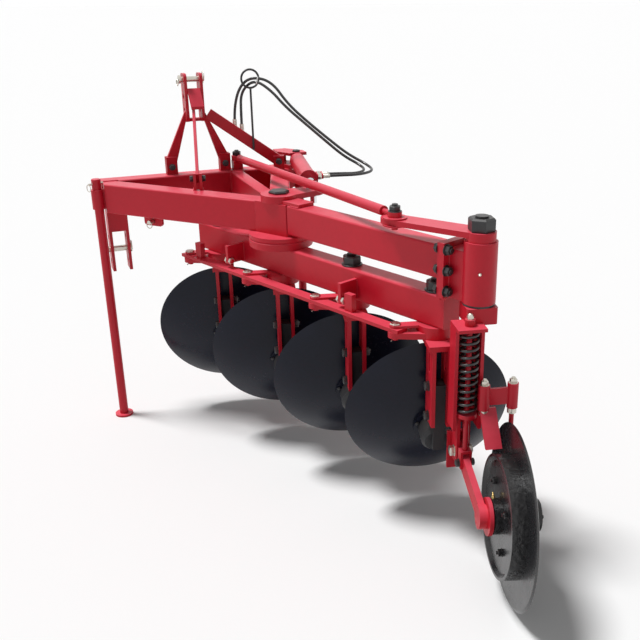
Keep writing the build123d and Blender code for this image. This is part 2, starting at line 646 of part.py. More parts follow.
def hanger(shaft_top, nut):
    """One hanger about its own pivot: x ahead along the disc's axis, y to the left."""
    with BuildPart() as piece:
        with Locations((0, 0, BOSS_BOTTOM)):
            Cylinder(HANGER_BOSS_RADIUS, HANGER_BOSS_HEIGHT, align=(Align.CENTER, Align.CENTER, Align.MIN))
            Cylinder(HANGER_SHAFT_RADIUS, shaft_top - BOSS_BOTTOM,
                     align=(Align.CENTER, Align.CENTER, Align.MIN))
        with BuildSketch(Plane.XY.offset(BOSS_BOTTOM)):
            with BuildLine():
                Polyline((-HANGER_BOSS_RADIUS * 0.9, 0), (-HANGER_LEVER_RADIUS, HANGER_LEVER),
                         (HANGER_LEVER_RADIUS, HANGER_LEVER), (HANGER_BOSS_RADIUS * 0.9, 0), close=True)
            make_face()
            with Locations((0, HANGER_LEVER)):
                Circle(HANGER_LEVER_RADIUS)
                Circle(TIE_PIN_RADIUS + PIN_FIT, mode=Mode.SUBTRACT)
        extrude(amount=HANGER_LEVER_THICK)
        with BuildSketch(Plane.XY.offset(TIE_BAR_TOP + RUN_GAP)):
            Rectangle(2 * FORK_PLATE_RADIUS, HANGER_LEVER, align=(Align.CENTER, Align.MIN))
            with Locations((0, HANGER_LEVER)):
                Circle(FORK_PLATE_RADIUS)
                Circle(TIE_PIN_RADIUS + PIN_FIT, mode=Mode.SUBTRACT)
        extrude(amount=BOSS_TOP - TIE_BAR_TOP - RUN_GAP)
        head_length = HANGER_BOSS_RADIUS - SIDE_BACK - 20
        with Locations((SIDE_BACK, 0, BOSS_BOTTOM)):
            Box(head_length, 2 * (SIDE_INNER + SIDE_THICK) + 24, HEAD_THICK,
                align=(Align.MIN, Align.CENTER, Align.MAX))
        for side in (-1, 1):
            with BuildSketch(Plane.XZ.offset(side * (SIDE_INNER + SIDE_THICK / 2))):
                with BuildLine():
                    Polyline((SIDE_FRONT, HANGER_SIDE_TOP), (SIDE_BACK, HANGER_SIDE_TOP),
                             (SIDE_BACK, SIDE_BOTTOM), (SIDE_FRONT - SIDE_CUT, SIDE_BOTTOM),
                             (SIDE_FRONT, SIDE_BOTTOM + SIDE_CUT), close=True)
                make_face()
                with Locations((SIDE_FRONT - SIDE_DEPTH / 2, HANGER_SIDE_TOP - SLOT_DROP)):
                    SlotOverall(SLOT_LENGTH, SLOT_WIDTH, rotation=90, mode=Mode.SUBTRACT)
            extrude(amount=SIDE_THICK / 2, both=True)
        if nut:
            with BuildSketch(Plane.XY.offset(LOWER_TOP + RUN_GAP)):
                RegularPolygon(HANGER_NUT_FLATS / 2, 6, major_radius=False)
            extrude(amount=HANGER_NUT_HEIGHT)
    return piece


# Disc axis: through the vertex of the dish, leaning back by the tilt
TILT = radians(DISC_TILT)
SPHERE = ((DISC_DIAMETER / 2) ** 2 + DISC_DEPTH ** 2) / (2 * DISC_DEPTH)
VERTEX = (RIM_AHEAD - DISC_DEPTH * cos(TILT), 0, RIM_HEIGHT - DISC_DEPTH * sin(TILT))
DISC_AXIS = (cos(TILT), 0, sin(TILT))
DISC_PLANE = Plane(origin=VERTEX, x_dir=(0, 1, 0), z_dir=Vector(0, 1, 0).cross(Vector(*DISC_AXIS)))
HUB_BACK = -HUB_FLANGE_THICK - 1 - HUB_LENGTH


def dish(radius, lift=0):
    """Height of the dished face over its vertex at a radius."""
    return lift + SPHERE - sqrt(SPHERE ** 2 - radius ** 2)


with BuildPart() as standard:
    standard_bottom = VERTEX[2] - STANDARD_TAIL
    with Locations((SIDE_FRONT - SIDE_DEPTH / 2, 0, standard_bottom)):
        Box(STANDARD_DEPTH, STANDARD_WIDTH, SIDE_BOTTOM + STANDARD_GRIP - standard_bottom,
            align=(Align.CENTER, Align.CENTER, Align.MIN))
    with BuildSketch(DISC_PLANE):
        with BuildLine():
            Polyline((0, HUB_BACK), (HUB_RADIUS * 0.8, HUB_BACK), (HUB_RADIUS, HUB_BACK + 14),
                     (HUB_RADIUS, -HUB_FLANGE_THICK - 1), (SPINDLE_RADIUS, -HUB_FLANGE_THICK - 1),
                     (SPINDLE_RADIUS, SPINDLE_LENGTH - HUB_FLANGE_THICK),
                     (0, SPINDLE_LENGTH - HUB_FLANGE_THICK), close=True)
        make_face()
    revolve(axis=Axis(VERTEX, DISC_AXIS))

with BuildPart() as disc:
    rim_radius = DISC_DIAMETER / 2
    bore = SPINDLE_RADIUS + PIN_FIT
    bore_end = SPINDLE_LENGTH - HUB_FLANGE_THICK + 1
    with BuildSketch(DISC_PLANE):
        with BuildLine():
            Polyline((0, bore_end), (bore, bore_end), (bore, -HUB_FLANGE_THICK),
                     (HUB_FLANGE_RADIUS, -HUB_FLANGE_THICK), (HUB_FLANGE_RADIUS, dish(HUB_FLANGE_RADIUS)))
            half = (HUB_FLANGE_RADIUS + rim_radius) / 2
            ThreePointArc((HUB_FLANGE_RADIUS, dish(HUB_FLANGE_RADIUS)), (half, dish(half)),
                          (rim_radius, dish(rim_radius)))
            Line((rim_radius, dish(rim_radius)),
                 (rim_radius - DISC_THICK, dish(rim_radius - DISC_THICK, DISC_THICK)))
            half = (HUB_CAP_RADIUS + rim_radius) / 2
            ThreePointArc((rim_radius - DISC_THICK, dish(rim_radius - DISC_THICK, DISC_THICK)),
                          (half, dish(half, DISC_THICK)), (HUB_CAP_RADIUS, dish(HUB_CAP_RADIUS, DISC_THICK)))
            Polyline((HUB_CAP_RADIUS, dish(HUB_CAP_RADIUS, DISC_THICK)), (HUB_CAP_RADIUS - 8, HUB_CAP_RISE),
                     (0, HUB_CAP_RISE), (0, bore_end))
        make_face()
    revolve(axis=Axis(VERTEX, DISC_AXIS))

for number, s in enumerate(DISC_S, start=1):
    under_pivot = s == 0
    shaft_top = LOWER_TOP - RUN_GAP if under_pivot else LOWER_TOP + RUN_GAP + HANGER_NUT_HEIGHT + 6
    spot = Location((*along_beam(s), 0), (0, 0, HANGER_TURN))
    keep(f"hanger_{number}", hanger(shaft_top, not under_pivot), spot)
    keep(f"standard_{number}", standard, spot)
    keep(f"disc_{number}", disc, spot)

# Tie bar over the four levers, with its pins and the two posts that meet the stops
with BuildPart() as tie_bar:
    tie_start = DISC_S[0] + TIE_LEAD - TIE_BAR_OVERHANG
    tie_length = DISC_S[-1] - DISC_S[0] + 2 * TIE_BAR_OVERHANG
    with Locations((tie_start, TIE_SIDE, TIE_BAR_BOTTOM)):
        Box(tie_length, TIE_BAR_WIDTH, TIE_BAR_THICK, align=(Align.MIN, Align.CENTER, Align.MIN))
    for s in DISC_S:
        with Locations((s + TIE_LEAD, TIE_SIDE, BOSS_TOP + RUN_GAP)):
            Cylinder(TIE_PIN_HEAD_RADIUS, TIE_PIN_HEAD, align=(Align.CENTER, Align.CENTER, Align.MIN))
            Cylinder(TIE_PIN_RADIUS, BOSS_TOP + RUN_GAP - BOSS_BOTTOM + TIE_PIN_TAIL,
                     align=(Align.CENTER, Align.CENTER, Align.MAX))
    with Locations((FRONT_POST_S, TIE_SIDE, TIE_BAR_TOP), (REAR_POST_S, TIE_SIDE, TIE_BAR_TOP)):
        Box(POST_DEPTH, POST_WIDTH, POST_HEIGHT, align=(Align.CENTER, Align.CENTER, Align.MIN))
keep("tie_bar", tie_bar, BEAM_PLACE)

# Wheel unit about the rear pivot: x ahead along the wheel's heading, y to the left
LEAN = radians(WHEEL_LEAN)
TOE = radians(WHEEL_TOE)
WHEEL_AHEAD = (cos(TOE), -sin(TOE), 0)
WHEEL_LEFT = (sin(TOE) * cos(LEAN), cos(TOE) * cos(LEAN), -sin(LEAN))
FLANGE_OFFSET = DRUM_WHEEL_WIDTH / 2 + FLANGE_THICK
WHEEL_RISE = FLANGE_RADIUS * cos(LEAN) + (FLANGE_THICK / 2 - FLANGE_OFFSET) * sin(LEAN)
WHEEL_MIDDLE = (WHEEL_BACK, WHEEL_SIDE, WHEEL_RISE)
WHEEL_PLANE = Plane(WHEEL_MIDDLE, x_dir=WHEEL_AHEAD, z_dir=Vector(*WHEEL_AHEAD).cross(Vector(*WHEEL_LEFT)))
HUB_FACE = DRUM_WHEEL_WIDTH / 2 + WHEEL_HUB_RISE
ARM_SIDE = HUB_FACE + HUB_CLEAR + ARM_RING_THICK
ARM_END = tuple(WHEEL_MIDDLE[k] + WHEEL_LEFT[k] * (ARM_SIDE + ARM_THICK / 2) for k in range(3))
ARM_PIVOT = (ARM_AHEAD, ARM_END[1], ARM_HEIGHT)
FORK_BACK = -5
SPRING_X = FORK_BACK - FORK_WALL - SPRING_RADIUS - 14

# Wheel carrier: post, head block, spring fork and the lugs of the wheel arm
with BuildPart() as wheel_carrier:
    with Locations((0, 0, HEAD_BOTTOM)):
        Box(HEAD_SIZE, HEAD_SIZE, HEAD_HEIGHT, align=(Align.CENTER, Align.CENTER, Align.MIN))
    fillet(wheel_carrier.edges().filter_by(Axis.Z), 12)
    with Locations((0, 0, REAR_BOTTOM - RUN_GAP)):
        Cylinder(REAR_HOUSING_RADIUS - 3, 8, align=(Align.CENTER, Align.CENTER, Align.MAX))
    with Locations((0, 0, HEAD_BOTTOM)):
        Cylinder(REAR_POST_RADIUS, STEER_TOP + REAR_NUT_HEIGHT + 5 - HEAD_BOTTOM,
                 align=(Align.CENTER, Align.CENTER, Align.MIN))
    fork_half = FORK_GAP / 2 + FORK_WALL
    with Locations((FORK_BACK, ARM_END[1], 0)):
        with Locations((0, 0, FORK_BOTTOM)):
            Box(FORK_WALL, 2 * fork_half, FORK_TOP - FORK_BOTTOM, align=(Align.MAX, Align.CENTER, Align.MIN))
        with Locations((0, 0, FORK_TOP)):
            Box(FORK_ROOF, 2 * fork_half, FORK_WALL, align=(Align.MAX, Align.CENTER, Align.MAX))
        for side in (-1, 1):
            with Locations((0, side * (FORK_GAP + FORK_WALL) / 2, FORK_BOTTOM)):
                Box(FORK_DEPTH, FORK_WALL, FORK_TOP - FORK_BOTTOM, align=(Align.MAX, Align.CENTER, Align.MIN))
    with Locations((SPRING_X, ARM_END[1], FORK_TOP)):
        Cylinder(ROOF_BOSS_RADIUS, ROOF_BOSS_HEIGHT, align=(Align.CENTER, Align.CENTER, Align.MIN))
    lug_half = ARM_THICK / 2 + SEAT_GAP + FORK_WALL / 2
    for side in (-1, 1):
        with Locations((PIVOT_LUG_BACK, ARM_END[1] + side * lug_half, ARM_HEIGHT - ARM_BOSS_RADIUS)):
            Box(PIVOT_LUG_WIDTH, FORK_WALL, FORK_BOTTOM - ARM_HEIGHT + ARM_BOSS_RADIUS + 30,
                align=(Align.MIN, Align.CENTER, Align.MIN))
            Box(SHIELD_AHEAD - PIVOT_LUG_BACK, FORK_WALL, SHIELD_HEIGHT - SHIELD_DROP + ARM_BOSS_RADIUS,
                align=(Align.MIN, Align.CENTER, Align.MIN))
    with Locations((SHIELD_AHEAD, ARM_END[1], ARM_HEIGHT - SHIELD_DROP)):
        Box(FORK_WALL, SHIELD_WIDTH, SHIELD_HEIGHT, align=(Align.MAX, Align.CENTER, Align.MIN))
    with BuildSketch(Plane.XY.offset(STEER_TOP)):
        RegularPolygon(REAR_NUT_FLATS / 2, 6, major_radius=False)
    extrude(amount=REAR_NUT_HEIGHT)
keep("wheel_carrier", wheel_carrier, CARRIER_PLACE)

STEER_RUN = (STEER_EYE[0] - REAR_PIVOT[0], STEER_EYE[1] - REAR_PIVOT[1])
STEER_LENGTH = hypot(*STEER_RUN)
STEER_TURN = degrees(atan2(STEER_RUN[1], STEER_RUN[0]))
with BuildPart() as steer_lever:
    with Locations((0, 0, STEER_TOP)):
        Cylinder(STEER_HUB_RADIUS, STEER_THICK + STEER_BOSS_RISE - RUN_GAP,
                 align=(Align.CENTER, Align.CENTER, Align.MAX))
    with BuildSketch(Plane.XY.offset(STEER_BOTTOM)):
        with BuildLine():
            Polyline((0, -STEER_HUB_RADIUS * 0.9), (STEER_LENGTH, STEER_SLACK[1] - STEER_END_RADIUS),
                     (STEER_LENGTH, STEER_SLACK[1] + STEER_END_RADIUS), (0, STEER_HUB_RADIUS * 0.9),
                     close=True)
        make_face()
        with Locations((STEER_LENGTH + STEER_SLACK[0], STEER_SLACK[1])):
            Circle(STEER_END_RADIUS)
            Circle(ROD_PIN_RADIUS + hypot(*STEER_SLACK) + 1.2, mode=Mode.SUBTRACT)
    extrude(amount=STEER_THICK)
    with Locations((0, 0, STEER_TOP)):
        Hole(REAR_POST_RADIUS + PIN_FIT, depth=FAR)
keep("steer_lever", steer_lever, Location((*REAR_PIVOT, 0), (0, 0, STEER_TURN)))

# Steering rod from the block on the cross beam to the steer lever
with BuildPart() as rod_block:
    with Locations((*ROD_FRONT, FRAME_TOP)):
        Box(ROD_BLOCK_WIDTH, ROD_BLOCK_WIDTH, ROD_FRONT_BASE - FRAME_TOP,
            align=(Align.CENTER, Align.CENTER, Align.MIN))
        Cylinder(ROD_PIN_RADIUS, ROD_FRONT_BASE + ROD_EYE_THICK + 8 - FRAME_TOP,
                 align=(Align.CENTER, Align.CENTER, Align.MIN))
keep("rod_block", rod_block)

ROD_REAR_BASE = STEER_TOP + RUN_GAP
with BuildPart() as steering_rod:
    front = Vector(*ROD_FRONT, ROD_FRONT_BASE + RUN_GAP)
    rear = Vector(*STEER_EYE, ROD_REAR_BASE)
    half_eye = Vector(0, 0, ROD_EYE_THICK / 2)
    run = rear - front
    with Locations(front, rear):
        Cylinder(ROD_EYE_RADIUS, ROD_EYE_THICK, align=(Align.CENTER, Align.CENTER, Align.MIN))
    for radius, start, end in ((ROD_NECK_RADIUS, 20, 20), (ROD_RADIUS, ROD_FRONT_NECK, ROD_REAR_NECK)):
        with BuildSketch(Plane(origin=front + half_eye + run.normalized() * start, z_dir=run)):
            Circle(radius)
        extrude(amount=run.length - start - end)
    with Locations(front):
        Hole(ROD_PIN_RADIUS + PIN_FIT, depth=FAR)
    with Locations(rear):
        Cylinder(ROD_PIN_RADIUS, STEER_THICK + 22, align=(Align.CENTER, Align.CENTER, Align.MAX))
        Cylinder(STEER_WASHER_RADIUS, STEER_WASHER, align=(Align.CENTER, Align.CENTER, Align.MIN))
    with Locations((*STEER_EYE, STEER_BOTTOM - RUN_GAP)):
        Cylinder(STEER_WASHER_RADIUS, STEER_WASHER, align=(Align.CENTER, Align.CENTER, Align.MAX))
keep("steering_rod", steering_rod)

# Wheel arm with axle, furrow wheel, spring and spring rod
with BuildPart() as wheel_arm:
    arm_run = Vector(*ARM_END) - Vector(*ARM_PIVOT)
    with BuildSketch(Plane(origin=ARM_PIVOT, x_dir=arm_run, z_dir=(0, 1, 0))):
        Rectangle(arm_run.length, ARM_DEPTH, align=(Align.MIN, Align.CENTER))
    extrude(amount=ARM_THICK / 2, both=True)
    with Locations(Location(ARM_PIVOT, (90, 0, 0))):
        Cylinder(ARM_BOSS_RADIUS - 4, ARM_THICK)
    with BuildSketch(WHEEL_PLANE):
        with BuildLine():
            ring_face = HUB_FACE + HUB_CLEAR
            boss_face = ARM_SIDE + ARM_THICK + 6
            Polyline((0, -FLANGE_OFFSET - 6), (AXLE_RADIUS, -FLANGE_OFFSET - 6), (AXLE_RADIUS, ring_face),
                     (ARM_RING_RADIUS, ring_face), (ARM_RING_RADIUS, ring_face + ARM_RING_THICK),
                     (ARM_BOSS_RADIUS, ring_face + ARM_RING_THICK), (ARM_BOSS_RADIUS, boss_face),
                     (0, boss_face), close=True)
        make_face()
    revolve(axis=Axis(WHEEL_MIDDLE, WHEEL_LEFT))
keep("wheel_arm", wheel_arm, CARRIER_PLACE)

with BuildPart() as furrow_wheel:
    bore = AXLE_RADIUS + PIN_FIT
    outer_face = -FLANGE_OFFSET
    cap_face = outer_face - WHEEL_CAP_LENGTH
    drum_half = DRUM_WHEEL_WIDTH / 2
    web_face = drum_half - DRUM_WALL
    with BuildSketch(WHEEL_PLANE):
        with BuildLine():
            Polyline((bore, outer_face - 6), (bore, HUB_FACE), (WHEEL_HUB_RADIUS, HUB_FACE),
                     (WHEEL_HUB_RADIUS, web_face), (DRUM_WHEEL_RADIUS - 22, web_face),
                     (DRUM_WHEEL_RADIUS - 10, drum_half), (DRUM_WHEEL_RADIUS, drum_half),
                     (DRUM_WHEEL_RADIUS, -drum_half), (FLANGE_RADIUS - 10, -drum_half),
                     (FLANGE_RADIUS, outer_face + FLANGE_THICK / 2), (FLANGE_RADIUS - 10, outer_face),
                     (WHEEL_CONE_RADIUS, outer_face), (WHEEL_CAP_RADIUS, outer_face - WHEEL_CONE_LENGTH),
                     (WHEEL_CAP_RADIUS, cap_face), (0, cap_face), (0, outer_face - 6), close=True)
        make_face()
    revolve(axis=Axis(WHEEL_MIDDLE, WHEEL_LEFT))
keep("furrow_wheel", furrow_wheel, CARRIER_PLACE)

SPRING_TOP = FORK_TOP - FORK_WALL - SEAT_GAP
SPRING_BOTTOM = SPRING_TOP - SPRING_LENGTH
with BuildPart() as spring:
    coil_rise = SPRING_LENGTH - SPRING_WIRE
    with BuildLine(Plane.XY.offset(SPRING_BOTTOM + SPRING_WIRE / 2)):
        coil = Helix(coil_rise / SPRING_COILS, coil_rise, SPRING_RADIUS - SPRING_WIRE / 2)
    with BuildSketch(Plane(origin=coil @ 0, z_dir=coil % 0)):
        Circle(SPRING_WIRE / 2)
    sweep(is_frenet=True)
keep("spring", spring, CARRIER_PLACE * Location((SPRING_X, ARM_END[1], 0)))

with BuildPart() as spring_rod:
    share = (SPRING_X - ARM_AHEAD) / (ARM_END[0] - ARM_AHEAD)
    joint_height = ARM_HEIGHT + (ARM_END[2] - ARM_HEIGHT) * share
    yoke_base = joint_height + ARM_DEPTH / 2 + 12
    with Locations((0, 0, yoke_base)):
        Cylinder(SPRING_ROD_RADIUS, SPRING_TOP - yoke_base, align=(Align.CENTER, Align.CENTER, Align.MIN))
        Box(YOKE_WIDTH, ARM_THICK + 2 * SEAT_GAP + 2 * YOKE_WALL, YOKE_WALL,
            align=(Align.CENTER, Align.CENTER, Align.MIN))
    with Locations((0, 0, SPRING_BOTTOM - SEAT_GAP)):
        Cylinder(SPRING_RADIUS, SPRING_CUP, align=(Align.CENTER, Align.CENTER, Align.MAX))
    for side in (-1, 1):
        with Locations((0, side * (ARM_THICK / 2 + SEAT_GAP), joint_height - YOKE_WIDTH / 2)):
            Box(YOKE_WIDTH, YOKE_WALL, yoke_base + YOKE_WALL - joint_height + YOKE_WIDTH / 2,
                align=(Align.CENTER, Align.MIN if side > 0 else Align.MAX, Align.MIN))
keep("spring_rod", spring_rod, CARRIER_PLACE * Location((SPRING_X, ARM_END[1], 0)))

# Wheel scraper: two clamps behind the spring fork's right wall, a shank and the sloping blade
with BuildPart() as wheel_scraper:
    clamp_x = FORK_BACK - FORK_DEPTH - CLAMP_RADIUS - SEAT_GAP
    clamp_y = ARM_END[1] - fork_half
    clamp_base = FORK_BOTTOM + CLAMP_RISE
    with Locations((clamp_x, clamp_y, clamp_base), (clamp_x, clamp_y - CLAMP_SPREAD, clamp_base)):
        Cylinder(CLAMP_RADIUS, CLAMP_HEIGHT, align=(Align.CENTER, Align.CENTER, Align.MIN))
    with Locations((clamp_x, clamp_y, clamp_base + CLAMP_HEIGHT / 6)):
        Box(2 * CLAMP_WALL, CLAMP_SPREAD, CLAMP_HEIGHT * 2 / 3, align=(Align.CENTER, Align.MAX, Align.MIN))
    with Locations((clamp_x, clamp_y - CLAMP_SPREAD, clamp_base + CLAMP_WALL)):
        Cylinder(SHANK_RADIUS, SHANK_LENGTH, align=(Align.CENTER, Align.CENTER, Align.MAX))
    with BuildSketch(Plane.XZ.offset(-clamp_y - BLADE_LEFT)):
        with BuildLine():
            edge = BLADE_THICK / 2
            blade_top = clamp_base + CLAMP_WALL
            Polyline((clamp_x + edge, blade_top), (clamp_x - edge, blade_top),
                     (clamp_x - BLADE_RUN - edge, blade_top - BLADE_DROP),
                     (clamp_x - BLADE_RUN + edge, blade_top - BLADE_DROP), close=True)
        make_face()
    extrude(amount=BLADE_WIDTH)
keep("wheel_scraper", wheel_scraper, CARRIER_PLACE)

# Swing cylinder: barrel with its clevis on the frame, and the rod to the pivot lever
CYLINDER_RUN = Vector(*LEVER_TIP) - Vector(*CYLINDER_BASE)
CYLINDER_LENGTH = CYLINDER_RUN.length
CYLINDER_TURN = degrees(atan2(CYLINDER_RUN.Y, CYLINDER_RUN.X))
CYLINDER_PLACE = Location((*CYLINDER_BASE, 0), (0, 0, CYLINDER_TURN))
CYLINDER_LINE = Plane(origin=(0, 0, CYLINDER_HEIGHT), x_dir=(0, 1, 0), z_dir=(1, 0, 0))
with BuildPart() as cylinder_barrel:
    with Locations((0, 0, CYLINDER_HEIGHT)):
        Cylinder(BASE_EYE_RADIUS, BASE_EYE_THICK)
    with BuildSketch(CYLINDER_LINE):
        Circle(BARREL_RADIUS * 0.6)
    extrude(amount=BARREL_START)
    with BuildSketch(CYLINDER_LINE.offset(BARREL_START)):
        Circle(BARREL_RADIUS)
    extrude(amount=BARREL_END - BARREL_START)
    with BuildSketch(CYLINDER_LINE.offset(BARREL_END)):
        Circle(GLAND_RADIUS)
    extrude(amount=GLAND_LENGTH)
    for port in PORTS:
        with BuildSketch(Plane(origin=(port, 0, CYLINDER_HEIGHT), z_dir=(0, 1, 0))):
            Circle(PORT_RADIUS)
        extrude(amount=PORT_REACH)
    with BuildSketch(CYLINDER_LINE.offset(BARREL_START + 20)):
        Circle(CYLINDER_ROD_RADIUS + PIN_FIT)
    extrude(amount=BARREL_END + GLAND_LENGTH, mode=Mode.SUBTRACT)
    with Locations((0, 0, CYLINDER_HEIGHT)):
        Hole(BASE_PIN_RADIUS + PIN_FIT, depth=FAR)
keep("cylinder_barrel", cylinder_barrel, CYLINDER_PLACE)

CLEVIS_LOW = CYLINDER_HEIGHT - BASE_EYE_THICK / 2 - RUN_GAP
CLEVIS_HIGH = CYLINDER_HEIGHT + BASE_EYE_THICK / 2 + RUN_GAP
CLEVIS_INNER = CROSS_HALF - 73
CLEVIS_EDGE = CROSS_HALF - 8
CLEVIS_REAR = CYLINDER_BASE[1] - 28
CLEVIS_FRONT = -10
CLEVIS_BACK = 2 - BEAM_WIDTH
CLEVIS_PLATE = 14
CLEVIS_OUTLINE = (
    (CLEVIS_INNER, CLEVIS_FRONT), (CLEVIS_EDGE, CLEVIS_FRONT),
    (CYLINDER_BASE[0] + 45, CYLINDER_BASE[1] + 32), (CYLINDER_BASE[0] + 45, CLEVIS_REAR),
    (CYLINDER_BASE[0] - 45, CLEVIS_REAR), (CLEVIS_INNER, CLEVIS_BACK),
)
with BuildPart() as cylinder_clevis:
    for low, high in ((FRAME_TOP, CLEVIS_LOW), (CLEVIS_HIGH, CLEVIS_HIGH + CLEVIS_PLATE)):
        with BuildSketch(Plane.XY.offset(low)):
            with BuildLine():
                Polyline(*CLEVIS_OUTLINE, close=True)
            make_face()
        extrude(amount=high - low)
    with BuildSketch(Plane.XY.offset(FRAME_TOP)):
        with BuildLine():
            Polyline((CLEVIS_INNER, CLEVIS_FRONT), (CLEVIS_EDGE, CLEVIS_FRONT),
                     (CLEVIS_EDGE, CLEVIS_FRONT - CLEVIS_PLATE),
                     (CLEVIS_INNER + CLEVIS_PLATE, CLEVIS_FRONT - CLEVIS_PLATE),
                     (CLEVIS_INNER + CLEVIS_PLATE, CLEVIS_BACK), (CLEVIS_INNER, CLEVIS_BACK), close=True)
        make_face()
    extrude(amount=CLEVIS_HIGH - FRAME_TOP)
    with Locations((*CYLINDER_BASE, FRAME_TOP - 8)):
        Cylinder(BASE_PIN_RADIUS, CLEVIS_HIGH + CLEVIS_PLATE + 16 - FRAME_TOP,
                 align=(Align.CENTER, Align.CENTER, Align.MIN))
keep("cylinder_clevis", cylinder_clevis)

with BuildPart() as cylinder_rod:
    with BuildSketch(CYLINDER_LINE.offset(BARREL_START + 160)):
        Circle(CYLINDER_ROD_RADIUS)
    extrude(amount=CYLINDER_LENGTH - TONGUE_LENGTH + 5 - BARREL_START - 160)
    with Locations((CYLINDER_LENGTH, 0, LEVER_FACE + RUN_GAP)):
        Box(TONGUE_LENGTH, TONGUE_WIDTH, ROD_HEAD_THICK, align=(Align.MAX, Align.CENTER, Align.MIN))
        Cylinder(ROD_HEAD_RADIUS, ROD_HEAD_THICK, align=(Align.CENTER, Align.CENTER, Align.MIN))
        Cylinder(CYLINDER_PIN_RADIUS, LEVER_THICK + 40, align=(Align.CENTER, Align.CENTER, Align.MAX))
    with Locations((CYLINDER_LENGTH, 0, LEVER_BOTTOM - RUN_GAP)):
        Cylinder(ROD_HEAD_RADIUS, 6, align=(Align.CENTER, Align.CENTER, Align.MAX))
keep("cylinder_rod", cylinder_rod, CYLINDER_PLACE)


def on_brace(share, ahead):
    """Point along the mast brace, ahead of its middle plane."""
    start = Vector(*BRACE_HEAD)
    run = Vector(*BRACE_FOOT, STRUT_FOOT_HEIGHT) - start
    return start + run * share + Vector(-run.Y, run.X, 0).normalized() * ahead


# Hose holder on the brace: a rod with a ring that the hoses pass through
with BuildPart() as hose_holder:
    foot = on_brace(HOLDER_SHARE, -STRUT_THICK / 2 - HOLDER_ROD_RADIUS - SEAT_GAP)
    ring_height = FRAME_TOP + HOLDER_RISE
    rod_base = foot.Z - STRUT_DEPTH / 2
    with Locations((foot.X, foot.Y, rod_base)):
        Cylinder(HOLDER_ROD_RADIUS, ring_height - HOLDER_RING_RADIUS - rod_base,
                 align=(Align.CENTER, Align.CENTER, Align.MIN))
    with Locations(Location((foot.X, foot.Y, ring_height), (90, 0, 0))):
        Torus(HOLDER_RING_RADIUS, HOLDER_ROD_RADIUS)
keep("hose_holder", hose_holder)

# Hoses with their parked couplers
cords = []
for number, (route, port, share) in enumerate(zip(HOSE_ROUTES, PORTS, HOSE_ENDS), start=1):
    parked = on_brace(share, STRUT_THICK / 2 + COUPLER_RADIUS + SEAT_GAP)
    ferrule_top = parked + Vector(0, 0, COUPLER_LENGTH / 2)
    with BuildPart() as coupler:
        with Locations(ferrule_top):
            Cylinder(FERRULE_RADIUS, COUPLER_LENGTH, align=(Align.CENTER, Align.CENTER, Align.MAX))
        with Locations(ferrule_top - Vector(0, 0, FERRULE_LENGTH)):
            Cylinder(COUPLER_RADIUS, COUPLER_LENGTH - FERRULE_LENGTH,
                     align=(Align.CENTER, Align.CENTER, Align.MAX))
    keep(f"coupler_{number}", coupler)

    port_end, port_ahead = [
        (CYLINDER_PLACE * Location((port, reach, CYLINDER_HEIGHT))).position
        for reach in (PORT_REACH, PORT_REACH + HOSE_STRAIGHT)
    ]
    over_ferrule = ferrule_top + Vector(0, 0, HOSE_STRAIGHT)
    points = [port_end, port_ahead, *[Vector(*point) for point in route], over_ferrule, ferrule_top]
    radii = []
    for before, corner, after in zip(points, points[1:], points[2:]):
        come, leave = corner - before, after - corner
        half_turn = radians(come.get_angle(leave)) / 2
        radii.append(CORNER_SHARE * min(come.length, leave.length) / tan(half_turn))
    with BuildPart() as hose:
        with BuildLine() as course:
            FilletPolyline(*points, radius=radii)
        with BuildSketch(Plane(origin=course.wire() @ 0, z_dir=course.wire() % 0)):
            Circle(HOSE_DIAMETER / 2)
        sweep()
    keep(f"hose_{number}", hose)
    cords.append(f"hose_{number}")
    print(f"hose_{number}", round(course.wire().length), [round(radius) for radius in radii])

ground = [piece.bounding_box() for node, piece in placed.items() if node not in cords]
middle_x = (min(box.min.X for box in ground) + max(box.max.X for box in ground)) / 2
middle_y = (min(box.min.Y for box in ground) + max(box.max.Y for box in ground)) / 2
low_z = min(box.min.Z for box in ground)
SHIFT = (-middle_x, -middle_y, -low_z)

os.makedirs("parts", exist_ok=True)
for node, piece in placed.items():
    piece = piece.moved(Location(SHIFT))
    piece.label = node
    export_step(piece, f"parts/{node}.step")
print("shift", SHIFT)
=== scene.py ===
"""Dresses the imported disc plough: paint, hoses, fasteners, weld beads, floor, light and camera.

Places are given in the millimetres of the plough's drawing, and every finished point is in metres.
"""
from __future__ import annotations

import json
import logging
import math
from dataclasses import dataclass, field
from enum import Enum
from random import Random

import bpy
from mathutils import Matrix, Vector

